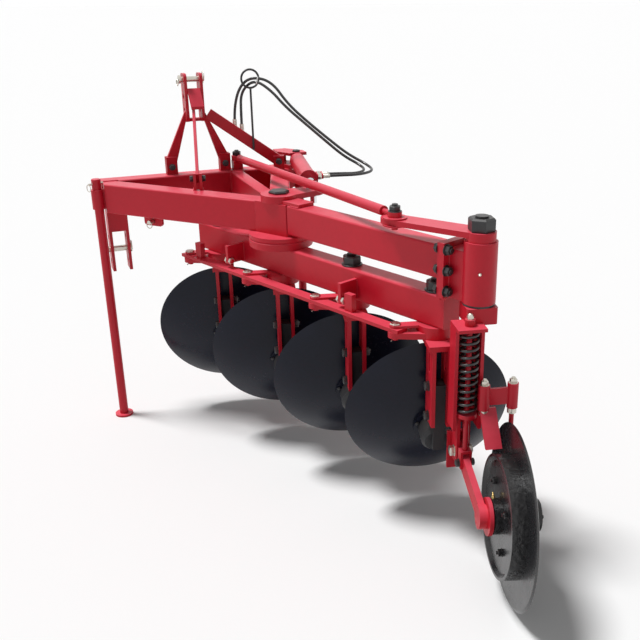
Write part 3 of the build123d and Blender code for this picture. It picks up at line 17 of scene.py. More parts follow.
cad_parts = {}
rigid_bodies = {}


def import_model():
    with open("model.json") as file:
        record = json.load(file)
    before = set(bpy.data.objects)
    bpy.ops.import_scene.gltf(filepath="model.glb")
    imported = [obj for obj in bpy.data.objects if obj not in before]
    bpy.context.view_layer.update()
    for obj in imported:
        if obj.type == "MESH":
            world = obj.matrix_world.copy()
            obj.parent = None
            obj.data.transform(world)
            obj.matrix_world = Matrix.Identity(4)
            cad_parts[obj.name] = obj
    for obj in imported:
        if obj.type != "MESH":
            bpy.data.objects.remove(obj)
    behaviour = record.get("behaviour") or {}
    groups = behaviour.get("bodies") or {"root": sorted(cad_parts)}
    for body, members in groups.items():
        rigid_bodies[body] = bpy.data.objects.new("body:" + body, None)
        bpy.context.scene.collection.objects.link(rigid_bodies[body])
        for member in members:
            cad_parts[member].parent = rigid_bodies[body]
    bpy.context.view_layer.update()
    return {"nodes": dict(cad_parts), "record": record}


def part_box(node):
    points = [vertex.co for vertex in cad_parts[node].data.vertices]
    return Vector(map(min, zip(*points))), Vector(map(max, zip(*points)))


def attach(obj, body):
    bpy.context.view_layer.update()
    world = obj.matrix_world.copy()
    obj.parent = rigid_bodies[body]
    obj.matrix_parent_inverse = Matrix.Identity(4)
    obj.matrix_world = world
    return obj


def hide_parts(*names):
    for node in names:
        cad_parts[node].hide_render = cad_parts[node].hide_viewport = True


LOG = logging.getLogger("disc_plough")
MM = 0.001
IMAGE_PIXELS = 640
Point = tuple[float, float, float]
Colour = tuple[float, float, float]


class Slot(str, Enum):
    """Material slots of the record."""

    RED = "red_paint"
    DISC = "disc_blue_black"
    STANDARD = "standard_grey"
    WHEEL = "wheel_black"
    SPRING = "spring_steel"
    ZINC = "zinc"
    CHROME = "chrome_rod"
    BLACK = "black_steel"
    HOSE = "hose_rubber"


class Head(Enum):
    """What a fastener shows on the outside."""

    BOLT = "bolt"
    NUT = "nut"
    DOME = "dome"


@dataclass(frozen=True)
class Layout:
    """The plough's own axes in the drawing, and how they stand in the shared frame."""

    shift: Point
    pivot: tuple[float, float] = (177.0, -785.0)
    beam_angle: float = 21.5
    rear_s: float = 1085.0
    wheel_heading: float = 13.2
    disc_pitch: float = 444.0
    discs_ahead: int = 1
    flip_angle: float = 72.0
    cylinder_base: tuple[float, float] = (475.0, -130.0)
    lever_length: float = 165.0
    lever_turn: float = 9.5

    @classmethod
    def packed(cls) -> Layout:
        """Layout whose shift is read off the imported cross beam, which the drawing starts from."""
        low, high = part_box("cross_beam")
        return cls(shift=((low.x + high.x) / 2 / MM, high.y / MM, 0.0))

    def drawing(self) -> Matrix:
        """Drawing millimetres to the shared frame's metres."""
        return Matrix.Scale(MM, 4) @ Matrix.Translation(Vector(self.shift))

    def spot(self, x: float, y: float, turn: float) -> Matrix:
        """Axes at a plan point, turned about the vertical.

        Args:
            x: Drawing X in millimetres.
            y: Drawing Y in millimetres.
            turn: Turn about +Z in degrees.

        Returns:
            Matrix from local millimetres to metres.
        """
        turned = Matrix.Rotation(math.radians(turn), 4, "Z")
        return self.drawing() @ Matrix.Translation((x, y, 0.0)) @ turned

    def along(self, s: float) -> tuple[float, float]:
        """Plan point on the swinging beams, s back from the main pivot."""
        turn = math.radians(self.beam_angle)
        return self.pivot[0] + s * math.sin(turn), self.pivot[1] - s * math.cos(turn)

    def beam(self) -> Matrix:
        """Axes of the swinging beams: x back along them, y to the right."""
        return self.spot(*self.pivot, self.beam_angle - 90)

    def carrier(self) -> Matrix:
        """Axes of the wheel unit: x ahead along the wheel's heading, y to the left."""
        return self.spot(*self.along(self.rear_s), 90 - self.wheel_heading)

    def hanger(self, number: int) -> Matrix:
        """Axes of one hanger, counted from 1 at the front."""
        s = self.disc_pitch * (number - 1 - self.discs_ahead)
        return self.spot(*self.along(s), 90 + self.beam_angle - self.flip_angle / 2)

    def cylinder(self) -> Matrix:
        """Axes of the swing cylinder: x from its base eye to its rod."""
        turn = math.radians(self.lever_turn)
        tip_x = self.pivot[0] + self.lever_length * math.cos(turn)
        tip_y = self.pivot[1] + self.lever_length * math.sin(turn)
        heading = math.atan2(tip_y - self.cylinder_base[1], tip_x - self.cylinder_base[0])
        return self.spot(*self.cylinder_base, math.degrees(heading))


def aimed(place: Matrix, position: Point, axis: Point) -> Matrix:
    """Axes at a local point with z along an axis.

    Args:
        place: Matrix from local millimetres to metres.
        position: Local point in millimetres.
        axis: Local direction that becomes z.

    Returns:
        Matrix from the new local millimetres to metres.
    """
    turn = Vector(axis).to_track_quat("Z", "Y").to_matrix().to_4x4()
    return place @ Matrix.Translation(Vector(position)) @ turn


def bolt_circle(count: int, radius: float, start: float, height: float) -> list[Point]:
    """Evenly spaced local points round z.

    Args:
        count: How many points there are.
        radius: Radius of the circle in millimetres.
        start: Angle of the first point in radians.
        height: Local z of the circle.

    Returns:
        The points in order.
    """
    angles = [math.tau * k / count + start for k in range(count)]
    return [(radius * math.cos(angle), radius * math.sin(angle), height) for angle in angles]


class Mesh:
    """Gathers faces in metres and turns them into one object."""

    def __init__(self, name: str) -> None:
        """Starts an empty mesh with the object's name."""
        self.name = name
        self.points: list[Vector] = []
        self.faces: list[tuple[int, ...]] = []

    def loft(self, place: Matrix, rings: list[list[Point]], closed: bool = False) -> None:
        """Joins rings of equal length into a skin, with both ends capped unless it closes on itself.

        Args:
            place: Matrix from local millimetres to metres.
            rings: Rings of local points.
            closed: Whether the last ring joins the first.
        """
        first = len(self.points)
        count = len(rings[0])
        for ring in rings:
            self.points.extend(place @ Vector(point) for point in ring)
        last = len(rings) if closed else len(rings) - 1
        for k in range(last):
            low = first + k * count
            high = first + (k + 1) % len(rings) * count
            for j in range(count):
                n = (j + 1) % count
                self.faces.append((low + j, low + n, high + n, high + j))
        if not closed:
            self.faces.append(tuple(first + j for j in reversed(range(count))))
            end = first + (len(rings) - 1) * count
            self.faces.append(tuple(end + j for j in range(count)))

    def turned(self, place: Matrix, profile: list[tuple[float, float]], sides: int = 20) -> None:
        """Revolves a profile of (radius, height) pairs about local z."""
        steps = [math.tau * k / sides for k in range(sides)]
        self.loft(place, [[(r * math.cos(a), r * math.sin(a), z) for a in steps] for r, z in profile])

    def tube(self, place: Matrix, path: list[Point], radius: float, sides: int = 8,
             closed: bool = False) -> None:
        """Sweeps a round section along a path of local points."""
        points = [Vector(point) for point in path]
        rings: list[list[Point]] = []
        up = Vector((0.31, 0.17, 0.94))
        for k, point in enumerate(points):
            ahead = points[(k + 1) % len(points)] if closed or k + 1 < len(points) else point
            behind = points[k - 1] if closed or k else point
            run = (ahead - behind).normalized()
            side = run.cross(up).normalized()
            lift = side.cross(run)
            rings.append([tuple(point + side * (radius * math.cos(math.tau * j / sides))
                                + lift * (radius * math.sin(math.tau * j / sides)))
                          for j in range(sides)])
        self.loft(place, rings, closed)

    def ring(self, place: Matrix, radius: float, wire: float, steps: int = 20) -> None:
        """Adds a wire ring about local z."""
        path = [(radius * math.cos(math.tau * k / steps), radius * math.sin(math.tau * k / steps), 0.0)
                for k in range(steps)]
        self.tube(place, path, wire, closed=True)

    def bead(self, place: Matrix, start: Point, end: Point, radius: float, draw: Random) -> None:
        """Lays a rippled weld bead between two local points."""
        first = Vector(start)
        run = Vector(end) - first
        count = max(4, int(run.length / (radius * 0.55)))
        along = run.normalized()
        side = along.orthogonal().normalized()
        lift = along.cross(side)
        rings = []
        for k in range(count + 1):
            ripple = 1.0 + (0.14 if k % 2 else -0.1) + draw.uniform(-0.06, 0.06)
            if k in (0, count):
                ripple = 0.45
            middle = first + run * (k / count) + side * draw.uniform(-0.1, 0.1) * radius
            rings.append([tuple(middle + (side * math.cos(math.tau * j / 8)
                                          + lift * math.sin(math.tau * j / 8)) * radius * ripple)
                          for j in range(8)])
        self.loft(place, rings)

    def build(self, finish: "Finish", body: str, smooth_angle: float = 40.0) -> bpy.types.Object:
        """Makes the object, dresses it and lets it ride on its body.

        Args:
            finish: Finish that the piece takes.
            body: CAD body that carries the piece.
            smooth_angle: Edges under this angle, in degrees, are shaded smooth.

        Returns:
            The new object.
        """
        mesh = bpy.data.meshes.new(self.name)
        mesh.from_pydata([tuple(point) for point in self.points], [], self.faces)
        mesh.validate()
        mesh.update()
        mesh.shade_smooth()
        mesh.set_sharp_from_angle(angle=math.radians(smooth_angle))
        piece = bpy.data.objects.new(self.name, mesh)
        bpy.context.scene.collection.objects.link(piece)
        mesh.materials.append(finish.material())
        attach(piece, body)
        LOG.info("%s on %s, %d faces", self.name, body, len(self.faces))
        return piece


@dataclass(frozen=True)
class Fastener:
    """Hex nut or bolt head with a washer and, on a nut, the end of its stud."""

    flats: float
    height: float
    washer: float = 0.0
    stud: float = 0.0
    head: Head = Head.BOLT

    def put(self, mesh: Mesh, place: Matrix) -> None:
        """Adds the fastener standing on local z = 0."""
        base = 0.0
        corner = self.flats / math.sqrt(3)
        if self.washer:
            base = 0.09 * self.flats
            mesh.turned(place, [(self.washer * 0.97, 0.0), (self.washer, base * 0.3),
                                (self.washer, base * 0.8), (self.washer * 0.96, base)], 24)
        top = base + self.height
        chamfer = 0.1 * self.flats
        hexagon = [(corner * 0.95, base), (corner, base + chamfer * 0.5), (corner, top - chamfer * 0.7),
                   (corner * 0.87, top)]
        if self.head is Head.DOME:
            mesh.turned(place, [(corner, base), (corner, base + self.height * 0.5)], 6)
            rise = self.height * 0.5
            mesh.turned(place, [(corner * 0.84 * math.cos(a), base + rise + rise * math.sin(a))
                                for a in (0.0, 0.35, 0.7, 1.05, 1.4)], 18)
            return
        mesh.turned(place, hexagon, 6)
        if self.stud:
            radius = self.flats * 0.3
            turns = max(2, int(self.stud / 2.5))
            profile = [(radius, top - chamfer * 0.2)]
            for k in range(turns):
                low = top + self.stud * k / turns
                profile += [(radius, low + 0.2), (radius * 0.9, low + self.stud / turns * 0.5)]
            profile += [(radius * 0.96, top + self.stud * 0.96), (radius * 0.8, top + self.stud)]
            mesh.turned(place, profile, 16)
        elif self.head is Head.BOLT:
            mesh.turned(place, [(corner * 0.6, top - 0.2), (corner * 0.55, top + 0.4)], 16)


Source = bpy.types.NodeSocket | float


@dataclass
class Wiring:
    """Short calls that add and join the nodes of one shader tree."""

    tree: bpy.types.NodeTree

    def feed(self, target: bpy.types.NodeSocket, source: Source) -> None:
        """Links a socket to its source, or sets it to a number."""
        if isinstance(source, (int, float)):
            target.default_value = source
        else:
            self.tree.links.new(source, target)

    def node(self, kind: str, values: dict[str, Source] | None = None) -> bpy.types.Node:
        """Adds a node.

        Args:
            kind: Blender's name for the type of node.
            values: Sources of its inputs, by their labels.

        Returns:
            The new node.
        """
        node = self.tree.nodes.new(kind)
        for label, source in (values or {}).items():
            self.feed(node.inputs[label], source)
        return node

    def math(self, operation: str, *terms: Source, clamp: bool = False) -> bpy.types.NodeSocket:
        """Adds a math node.

        Args:
            operation: Blender's name for the operation.
            terms: Sources of its inputs, in order.
            clamp: Whether the result stays between 0 and 1.

        Returns:
            Socket of the result.
        """
        node = self.node("ShaderNodeMath")
        node.operation = operation
        node.use_clamp = clamp
        for socket, term in zip(node.inputs, terms):
            self.feed(socket, term)
        return node.outputs[0]

    def dot(self, first: bpy.types.NodeSocket, second: bpy.types.NodeSocket) -> bpy.types.NodeSocket:
        """Adds the dot product of two vectors and returns its socket."""
        node = self.node("ShaderNodeVectorMath")
        node.operation = "DOT_PRODUCT"
        self.feed(node.inputs[0], first)
        self.feed(node.inputs[1], second)
        return node.outputs["Value"]

    def ramp(self, value: bpy.types.NodeSocket, limits: dict[str, Source]) -> bpy.types.NodeSocket:
        """Adds a map range over a value and returns its result."""
        return self.node("ShaderNodeMapRange", {"Value": value, **limits}).outputs["Result"]

    def texture(self, kind: str, scale: Source, values: dict[str, Source] | None = None) -> bpy.types.Node:
        """Adds a texture that lies in the piece's own coordinates.

        Args:
            kind: Blender's name for the texture node.
            scale: Source of its scale.
            values: Sources of its other inputs, by their labels.

        Returns:
            The new node.
        """
        place = self.node("ShaderNodeTexCoord").outputs["Object"]
        return self.node(kind, {"Vector": place, "Scale": scale, **(values or {})})


class NodeGroups:
    """Shader node groups that several finishes share, each built once."""

    def __init__(self) -> None:
        """Starts with no group built."""
        self.made: dict[str, bpy.types.NodeTree] = {}

    def start(self, name: str, inputs: dict[str, float],
              output: str) -> tuple[Wiring, bpy.types.NodeOutputs, bpy.types.NodeSocket]:
        """Makes an empty group with float sockets.

        Args:
            name: Name of the group.
            inputs: Socket labels and their default values.
            output: Label of the value that it puts out.

        Returns:
            Wiring of the new tree, the sockets that come in and the socket that goes out.
        """
        tree = bpy.data.node_groups.new(name, "ShaderNodeTree")
        for label, value in inputs.items():
            socket = tree.interface.new_socket(label, in_out="INPUT", socket_type="NodeSocketFloat")
            socket.default_value = value
        tree.interface.new_socket(output, in_out="OUTPUT", socket_type="NodeSocketFloat")
        self.made[name] = tree
        wiring = Wiring(tree)
        entry, leave = wiring.node("NodeGroupInput"), wiring.node("NodeGroupOutput")
        return wiring, entry.outputs, leave.inputs[output]

    def mottle(self) -> bpy.types.NodeTree:
        """Cloudy value from 0 to 1 at a coarse and a fine scale."""
        name = "cloudy_mottle"
        if name not in self.made:
            wiring, entry, leave = self.start(name, {"Coarse": 3.0, "Fine": 40.0, "Contrast": 1.0}, "Value")
            coarse = wiring.texture("ShaderNodeTexNoise", entry["Coarse"], {"Detail": 4.0})
            fine = wiring.texture("ShaderNodeTexNoise", entry["Fine"], {"Detail": 6.0, "Roughness": 0.65})
            broad = wiring.math("MULTIPLY", coarse.outputs["Fac"], 0.55)
            mean = wiring.math("MULTIPLY_ADD", fine.outputs["Fac"], 0.45, broad)
            centred = wiring.math("SUBTRACT", mean, 0.5)
            wiring.feed(leave, wiring.math("MULTIPLY_ADD", centred, entry["Contrast"], 0.5, clamp=True))
        return self.made[name]

    def edges(self) -> bpy.types.NodeTree:
        """Mask that is 1 on corners and edges, broken up by noise: edge wear, and painted highlights along
        rounded edges.
        """
        name = "edge_wear_and_highlight_mask"
        if name not in self.made:
            wiring, entry, leave = self.start(name, {"Width": 0.003, "Amount": 1.0, "Breakup": 60.0}, "Mask")
            bevel = wiring.node("ShaderNodeBevel", {"Radius": entry["Width"]})
            plain = wiring.node("ShaderNodeNewGeometry")
            turn = wiring.ramp(wiring.dot(bevel.outputs["Normal"], plain.outputs["Normal"]),
                               {"From Min": 0.99, "From Max": 0.8})
            noise = wiring.texture("ShaderNodeTexNoise", entry["Breakup"], {"Detail": 5.0})
            gate = wiring.ramp(noise.outputs["Fac"], {"From Min": 0.42, "From Max": 0.62})
            both = wiring.math("MULTIPLY", turn, gate)
            wiring.feed(leave, wiring.math("MULTIPLY", both, entry["Amount"], clamp=True))
        return self.made[name]

    def dust_and_top_light(self) -> bpy.types.NodeTree:
        """Mask on faces that look up: settled dust, and in the red enamel painted light that makes the top
        faces lighter.
        """
        name = "settled_dust_and_top_light"
        if name not in self.made:
            wiring, entry, leave = self.start(name, {"Amount": 0.2, "Scale": 14.0, "Even": 0.0}, "Mask")
            split = wiring.node("ShaderNodeSeparateXYZ")
            wiring.feed(split.inputs[0], wiring.node("ShaderNodeNewGeometry").outputs["Normal"])
            upward = wiring.ramp(split.outputs["Z"], {"From Min": 0.1})
            noise = wiring.texture("ShaderNodeTexNoise", entry["Scale"], {"Detail": 8.0, "Roughness": 0.7})
            patch = wiring.ramp(noise.outputs["Fac"],
                                {"From Min": 0.35, "From Max": 0.75, "To Min": entry["Even"]})
            both = wiring.math("MULTIPLY", upward, patch)
            wiring.feed(leave, wiring.math("MULTIPLY", both, entry["Amount"], clamp=True))
        return self.made[name]

    def dimples(self) -> bpy.types.NodeTree:
        """Height of a hammered or orange-peel surface."""
        name = "dimpled_height"
        if name not in self.made:
            wiring, entry, leave = self.start(name, {"Cells": 60.0, "Grain": 300.0, "Grain Share": 0.3},
                                              "Height")
            cells = wiring.texture("ShaderNodeTexVoronoi", entry["Cells"])
            cells.feature = "SMOOTH_F1"
            grain = wiring.texture("ShaderNodeTexNoise", entry["Grain"])
            wiring.feed(leave, wiring.math("MULTIPLY_ADD", grain.outputs["Fac"], entry["Grain Share"],
                                           cells.outputs["Distance"]))
        return self.made[name]

    def tread(self) -> bpy.types.NodeTree:
        """Share of the relief that is full on faces round an axis and low on faces across it."""
        name = "tread_share"
        if name not in self.made:
            wiring, entry, leave = self.start(name, {"Axis X": 1.0, "Axis Y": 0.0, "Axis Z": 0.0}, "Share")
            axis = wiring.node("ShaderNodeCombineXYZ", {way: entry[f"Axis {way}"] for way in "XYZ"})
            face = wiring.node("ShaderNodeTexCoord").outputs["Normal"]
            across = wiring.math("ABSOLUTE", wiring.dot(axis.outputs[0], face))
            wiring.feed(leave, wiring.ramp(across, {"From Min": 0.75, "From Max": 0.25, "To Min": 0.08}))
        return self.made[name]


GROUPS = NodeGroups()


@dataclass(frozen=True)
class Finish:
    """One surface of the plough and the material that shows it."""

    slot: Slot
    name: str
    dark: Colour
    light: Colour
    # Edge colour: wear, and painted highlights along rounded edges.
    worn_and_highlight: Colour
    rough: tuple[float, float]
    metallic: float = 0.0
    coat: float = 0.0
    coat_rough: float = 0.1
    specular: float = 0.5
    mottle: tuple[float, float, float] = (2.5, 45.0, 1.6)
    # Edge mask settings: wear, and painted highlights on edges.
    wear_and_edge_highlight: tuple[float, float, float] = (0.0025, 0.35, 55.0)
    # Upward-face mix: settled dust, and in the red enamel painted light on the top faces.
    dust_and_top_light: tuple[float, float, float] = (0.12, 16.0, 0.0)
    dust_and_top_light_colour: Colour = (0.30, 0.24, 0.18)
    bump: tuple[float, float, float] = (90.0, 420.0, 0.4)
    bump_strength: float = 0.06
    bump_distance: float = 0.0006
    tread: Point | None = None

    def group(self, wiring: Wiring, shared: bpy.types.NodeTree, values: tuple[float, ...],
              output: str) -> bpy.types.NodeSocket:
        """Places a shared group in the material.

        Args:
            wiring: Wiring of the material.
            shared: The group's own tree.
            values: This finish's values for its sockets, in order.
            output: Label of what it puts out.

        Returns:
            Socket of the output.
        """
        node = wiring.node("ShaderNodeGroup")
        node.node_tree = shared
        for socket, value in zip(node.inputs, values):
            socket.default_value = value
        return node.outputs[output]

    def blend(self, wiring: Wiring, mask: bpy.types.NodeSocket, first: bpy.types.NodeSocket | Colour,
              second: Colour) -> bpy.types.NodeSocket:
        """Mixes two colours by a mask that changes over the surface.

        Args:
            wiring: Wiring of the material.
            mask: Value socket that says how much of the second colour shows.
            first: Colour, or the socket that gives it.
            second: Colour where the mask is 1.

        Returns:
            Socket of the mixed colour.
        """
        mix = wiring.node("ShaderNodeMix")
        mix.data_type = "RGBA"
        wiring.feed(mix.inputs["Factor"], mask)
        low, high = [socket for socket in mix.inputs if socket.type == "RGBA"]
        if isinstance(first, tuple):
            low.default_value = (*first, 1.0)
        else:
            wiring.feed(low, first)
        high.default_value = (*second, 1.0)
        return next(socket for socket in mix.outputs if socket.type == "RGBA")

    def material(self) -> bpy.types.Material:
        """Builds the material once and returns it."""
        made = bpy.data.materials.get(self.name)
        if made:
            return made
        made = bpy.data.materials.new(self.name)
        made.use_nodes = True
        wiring = Wiring(made.node_tree)
        shader = made.node_tree.nodes["Principled BSDF"]
        for label, value in (("Metallic", self.metallic), ("Coat Weight", self.coat),
                             ("Coat Roughness", self.coat_rough), ("Specular IOR Level", self.specular)):
            shader.inputs[label].default_value = value
        clouds = self.group(wiring, GROUPS.mottle(), self.mottle, "Value")
        # Lighter corners and edges: wear, and painted highlights on rounded edges.
        edge = self.group(wiring, GROUPS.edges(), self.wear_and_edge_highlight, "Mask")
        # Upward faces: settled dust, and on the red enamel a brighter red painted as light from above.
        dust_and_top_light = self.group(wiring, GROUPS.dust_and_top_light(), self.dust_and_top_light, "Mask")
        colour = self.blend(wiring, clouds, self.dark, self.light)
        colour = self.blend(wiring, edge, colour, self.worn_and_highlight)
        colour = self.blend(wiring, dust_and_top_light, colour, self.dust_and_top_light_colour)
        gloss = wiring.ramp(clouds, {"To Min": self.rough[0], "To Max": self.rough[1]})
        height = self.group(wiring, GROUPS.dimples(), self.bump, "Height")
        if self.tread:
            share = self.group(wiring, GROUPS.tread(), self.tread, "Share")
            height = wiring.math("MULTIPLY", height, share)
        relief = wiring.node("ShaderNodeBump", {"Strength": self.bump_strength, "Height": height,
                                                "Distance": self.bump_distance})
        wiring.feed(shader.inputs["Base Color"], colour)
        wiring.feed(shader.inputs["Roughness"], gloss)
        wiring.feed(shader.inputs["Normal"], relief.outputs["Normal"])
        return made


# The red's upward-face mix paints its top faces a brighter red: painted light from above.
RED = Finish(Slot.RED, "red_enamel", dark=(0.44, 0.006, 0.018), light=(0.58, 0.010, 0.028),
             # Brighter red on the edges: painted highlights.
             worn_and_highlight=(0.74, 0.06, 0.08), rough=(0.32, 0.48), coat=0.06, coat_rough=0.16, specular=0.25,
             dust_and_top_light=(0.72, 12.0, 0.7), dust_and_top_light_colour=(0.94, 0.12, 0.18))
DISC = Finish(Slot.DISC, "disc_lacquer", dark=(0.005, 0.006, 0.013), light=(0.009, 0.011, 0.024),
              worn_and_highlight=(0.04, 0.04, 0.055), rough=(0.16, 0.32), specular=0.2,
              mottle=(4.0, 70.0, 1.8), dust_and_top_light=(0.03, 9.0, 0.0), bump=(30.0, 260.0, 0.3))
STANDARD = Finish(Slot.STANDARD, "standard_paint", dark=(0.012, 0.012, 0.014), light=(0.028, 0.028, 0.031),
                  worn_and_highlight=(0.07, 0.07, 0.07), rough=(0.38, 0.58), specular=0.3, bump=(80.0, 300.0, 0.5),
                  bump_strength=0.12)
WHEEL = Finish(Slot.WHEEL, "wheel_paint", dark=(0.007, 0.007, 0.009), light=(0.016, 0.016, 0.017),
               worn_and_highlight=(0.06, 0.055, 0.05), rough=(0.18, 0.34), specular=0.45, mottle=(8.0, 55.0, 2.2),
               dust_and_top_light=(0.04, 16.0, 0.0), bump=(62.0, 210.0, 0.5), bump_strength=0.7, bump_distance=0.0026,
               tread=(-0.9530, 0.3012, 0.0349))
SPRING = Finish(Slot.SPRING, "spring_oxide", dark=(0.010, 0.010, 0.011), light=(0.024, 0.024, 0.026),
                worn_and_highlight=(0.06, 0.06, 0.06), rough=(0.28, 0.45), coat=0.2)
ZINC = Finish(Slot.ZINC, "zinc_plate", dark=(0.48, 0.45, 0.38), light=(0.66, 0.64, 0.58),
              worn_and_highlight=(0.75, 0.74, 0.72), rough=(0.26, 0.44), metallic=1.0, mottle=(30.0, 160.0, 1.8),
              dust_and_top_light=(0.06, 30.0, 0.0), bump=(260.0, 900.0, 0.4))
BRASS = Finish(Slot.ZINC, "brass_fitting", dark=(0.52, 0.36, 0.12), light=(0.68, 0.50, 0.20),
               worn_and_highlight=(0.78, 0.62, 0.32), rough=(0.20, 0.36), metallic=1.0, mottle=(30.0, 160.0, 1.6),
               dust_and_top_light=(0.05, 30.0, 0.0), bump=(260.0, 900.0, 0.4))
CHROME = Finish(Slot.CHROME, "hard_chrome", dark=(0.70, 0.70, 0.71), light=(0.82, 0.82, 0.83),
                worn_and_highlight=(0.85, 0.85, 0.85), rough=(0.05, 0.12), metallic=1.0, dust_and_top_light=(0.03, 20.0, 0.0),
                bump_strength=0.01)
BLACK = Finish(Slot.BLACK, "black_oxide", dark=(0.010, 0.010, 0.011), light=(0.030, 0.030, 0.032),
               worn_and_highlight=(0.10, 0.10, 0.10), rough=(0.30, 0.50), mottle=(20.0, 140.0, 1.8),
               wear_and_edge_highlight=(0.0015, 0.4, 120.0), bump=(160.0, 600.0, 0.4))
HOSE = Finish(Slot.HOSE, "hose_cover", dark=(0.008, 0.008, 0.009), light=(0.016, 0.016, 0.017),
              worn_and_highlight=(0.03, 0.03, 0.03), rough=(0.22, 0.36), coat=0.25, coat_rough=0.15,
              mottle=(10.0, 90.0, 1.6), bump=(200.0, 700.0, 0.5))
TIE = Finish(Slot.HOSE, "white_tie", dark=(0.62, 0.62, 0.60), light=(0.78, 0.78, 0.76),
             worn_and_highlight=(0.85, 0.85, 0.84), rough=(0.35, 0.5), mottle=(40.0, 220.0, 1.4))
NODE_FINISHES = (RED, DISC, STANDARD, WHEEL, SPRING, ZINC, CHROME, BLACK, HOSE)
FINISHES: dict[Slot, Finish] = {finish.slot: finish for finish in NODE_FINISHES}


@dataclass
class Stage:
    """Camera, pale floor, sky and lamps."""

    layout: Layout
    camera_place: Point = (-865.0, -4213.0, 2019.0)
    camera_tilt: tuple[float, float, float] = (68.8, 0.0, -24.1)
    focal_pixels: float = 852.0
    principal_x: float = 385.0
    sensor: float = 36.0
    floor_half: float = 120.0
    sun_angle: float = 16.0
    sun_strength: float = 2.75
    sun_turn: tuple[float, float, float] = (-12.0, -20.0, 0.0)
    sky_strength: float = 0.24
    seen_strength: float = 1.0
    floor_shade: float = 0.94

    def camera(self) -> None:
        """Sets the camera at the photograph's viewing angle."""
        lens = bpy.data.cameras.new("camera")
        lens.sensor_width = self.sensor
        lens.lens = self.focal_pixels * self.sensor / IMAGE_PIXELS
        lens.shift_x = (IMAGE_PIXELS / 2 - self.principal_x) / IMAGE_PIXELS
        eye = bpy.data.objects.new("camera", lens)
        eye.location = self.layout.drawing() @ Vector(self.camera_place)
        eye.rotation_euler = [math.radians(angle) for angle in self.camera_tilt]
        bpy.context.scene.collection.objects.link(eye)
        bpy.context.scene.camera = eye

    def floor(self) -> None:
        """Lays the pale floor, which keeps the plough's shadow."""
        half = self.floor_half
        mesh = bpy.data.meshes.new("floor")
        mesh.from_pydata([(-half, -half, 0.0), (half, -half, 0.0), (half, half, 0.0), (-half, half, 0.0)],
                         [], [(0, 1, 2, 3)])
        floor = bpy.data.objects.new("floor", mesh)
        bpy.context.scene.collection.objects.link(floor)
        made = bpy.data.materials.new("pale_floor")
        made.use_nodes = True
        shader = made.node_tree.nodes["Principled BSDF"]
        shader.inputs["Base Color"].default_value = (*[self.floor_shade] * 3, 1.0)
        shader.inputs["Roughness"].default_value = 0.9
        shader.inputs["Specular IOR Level"].default_value = 0.1
        mesh.materials.append(made)

    def light(self) -> None:
        """Sets the soft sun and the sky, which the camera and mirrors see as white."""
        lamp = bpy.data.lights.new("sun", "SUN")
        lamp.energy = self.sun_strength
        lamp.angle = math.radians(self.sun_angle)
        sun = bpy.data.objects.new("sun", lamp)
        sun.rotation_euler = [math.radians(angle) for angle in self.sun_turn]
        bpy.context.scene.collection.objects.link(sun)
        world = bpy.data.worlds.new("sky")
        bpy.context.scene.world = world
        world.use_nodes = True
        world.node_tree.nodes.clear()
        wiring = Wiring(world.node_tree)
        path = wiring.node("ShaderNodeLightPath").outputs
        seen = path["Is Camera Ray"]
        for label in ("Is Glossy Ray", "Is Transmission Ray"):
            seen = wiring.math("MAXIMUM", seen, path[label])
        mix = wiring.node("ShaderNodeMixShader", {"Fac": seen})
        for socket, strength in ((mix.inputs[1], self.sky_strength), (mix.inputs[2], self.seen_strength)):
            back = wiring.node("ShaderNodeBackground", {"Strength": strength})
            back.inputs["Color"].default_value = (1.0, 1.0, 1.0, 1.0)
            wiring.feed(socket, back.outputs[0])
        leave = wiring.node("ShaderNodeOutputWorld")
        wiring.feed(leave.inputs["Surface"], mix.outputs[0])


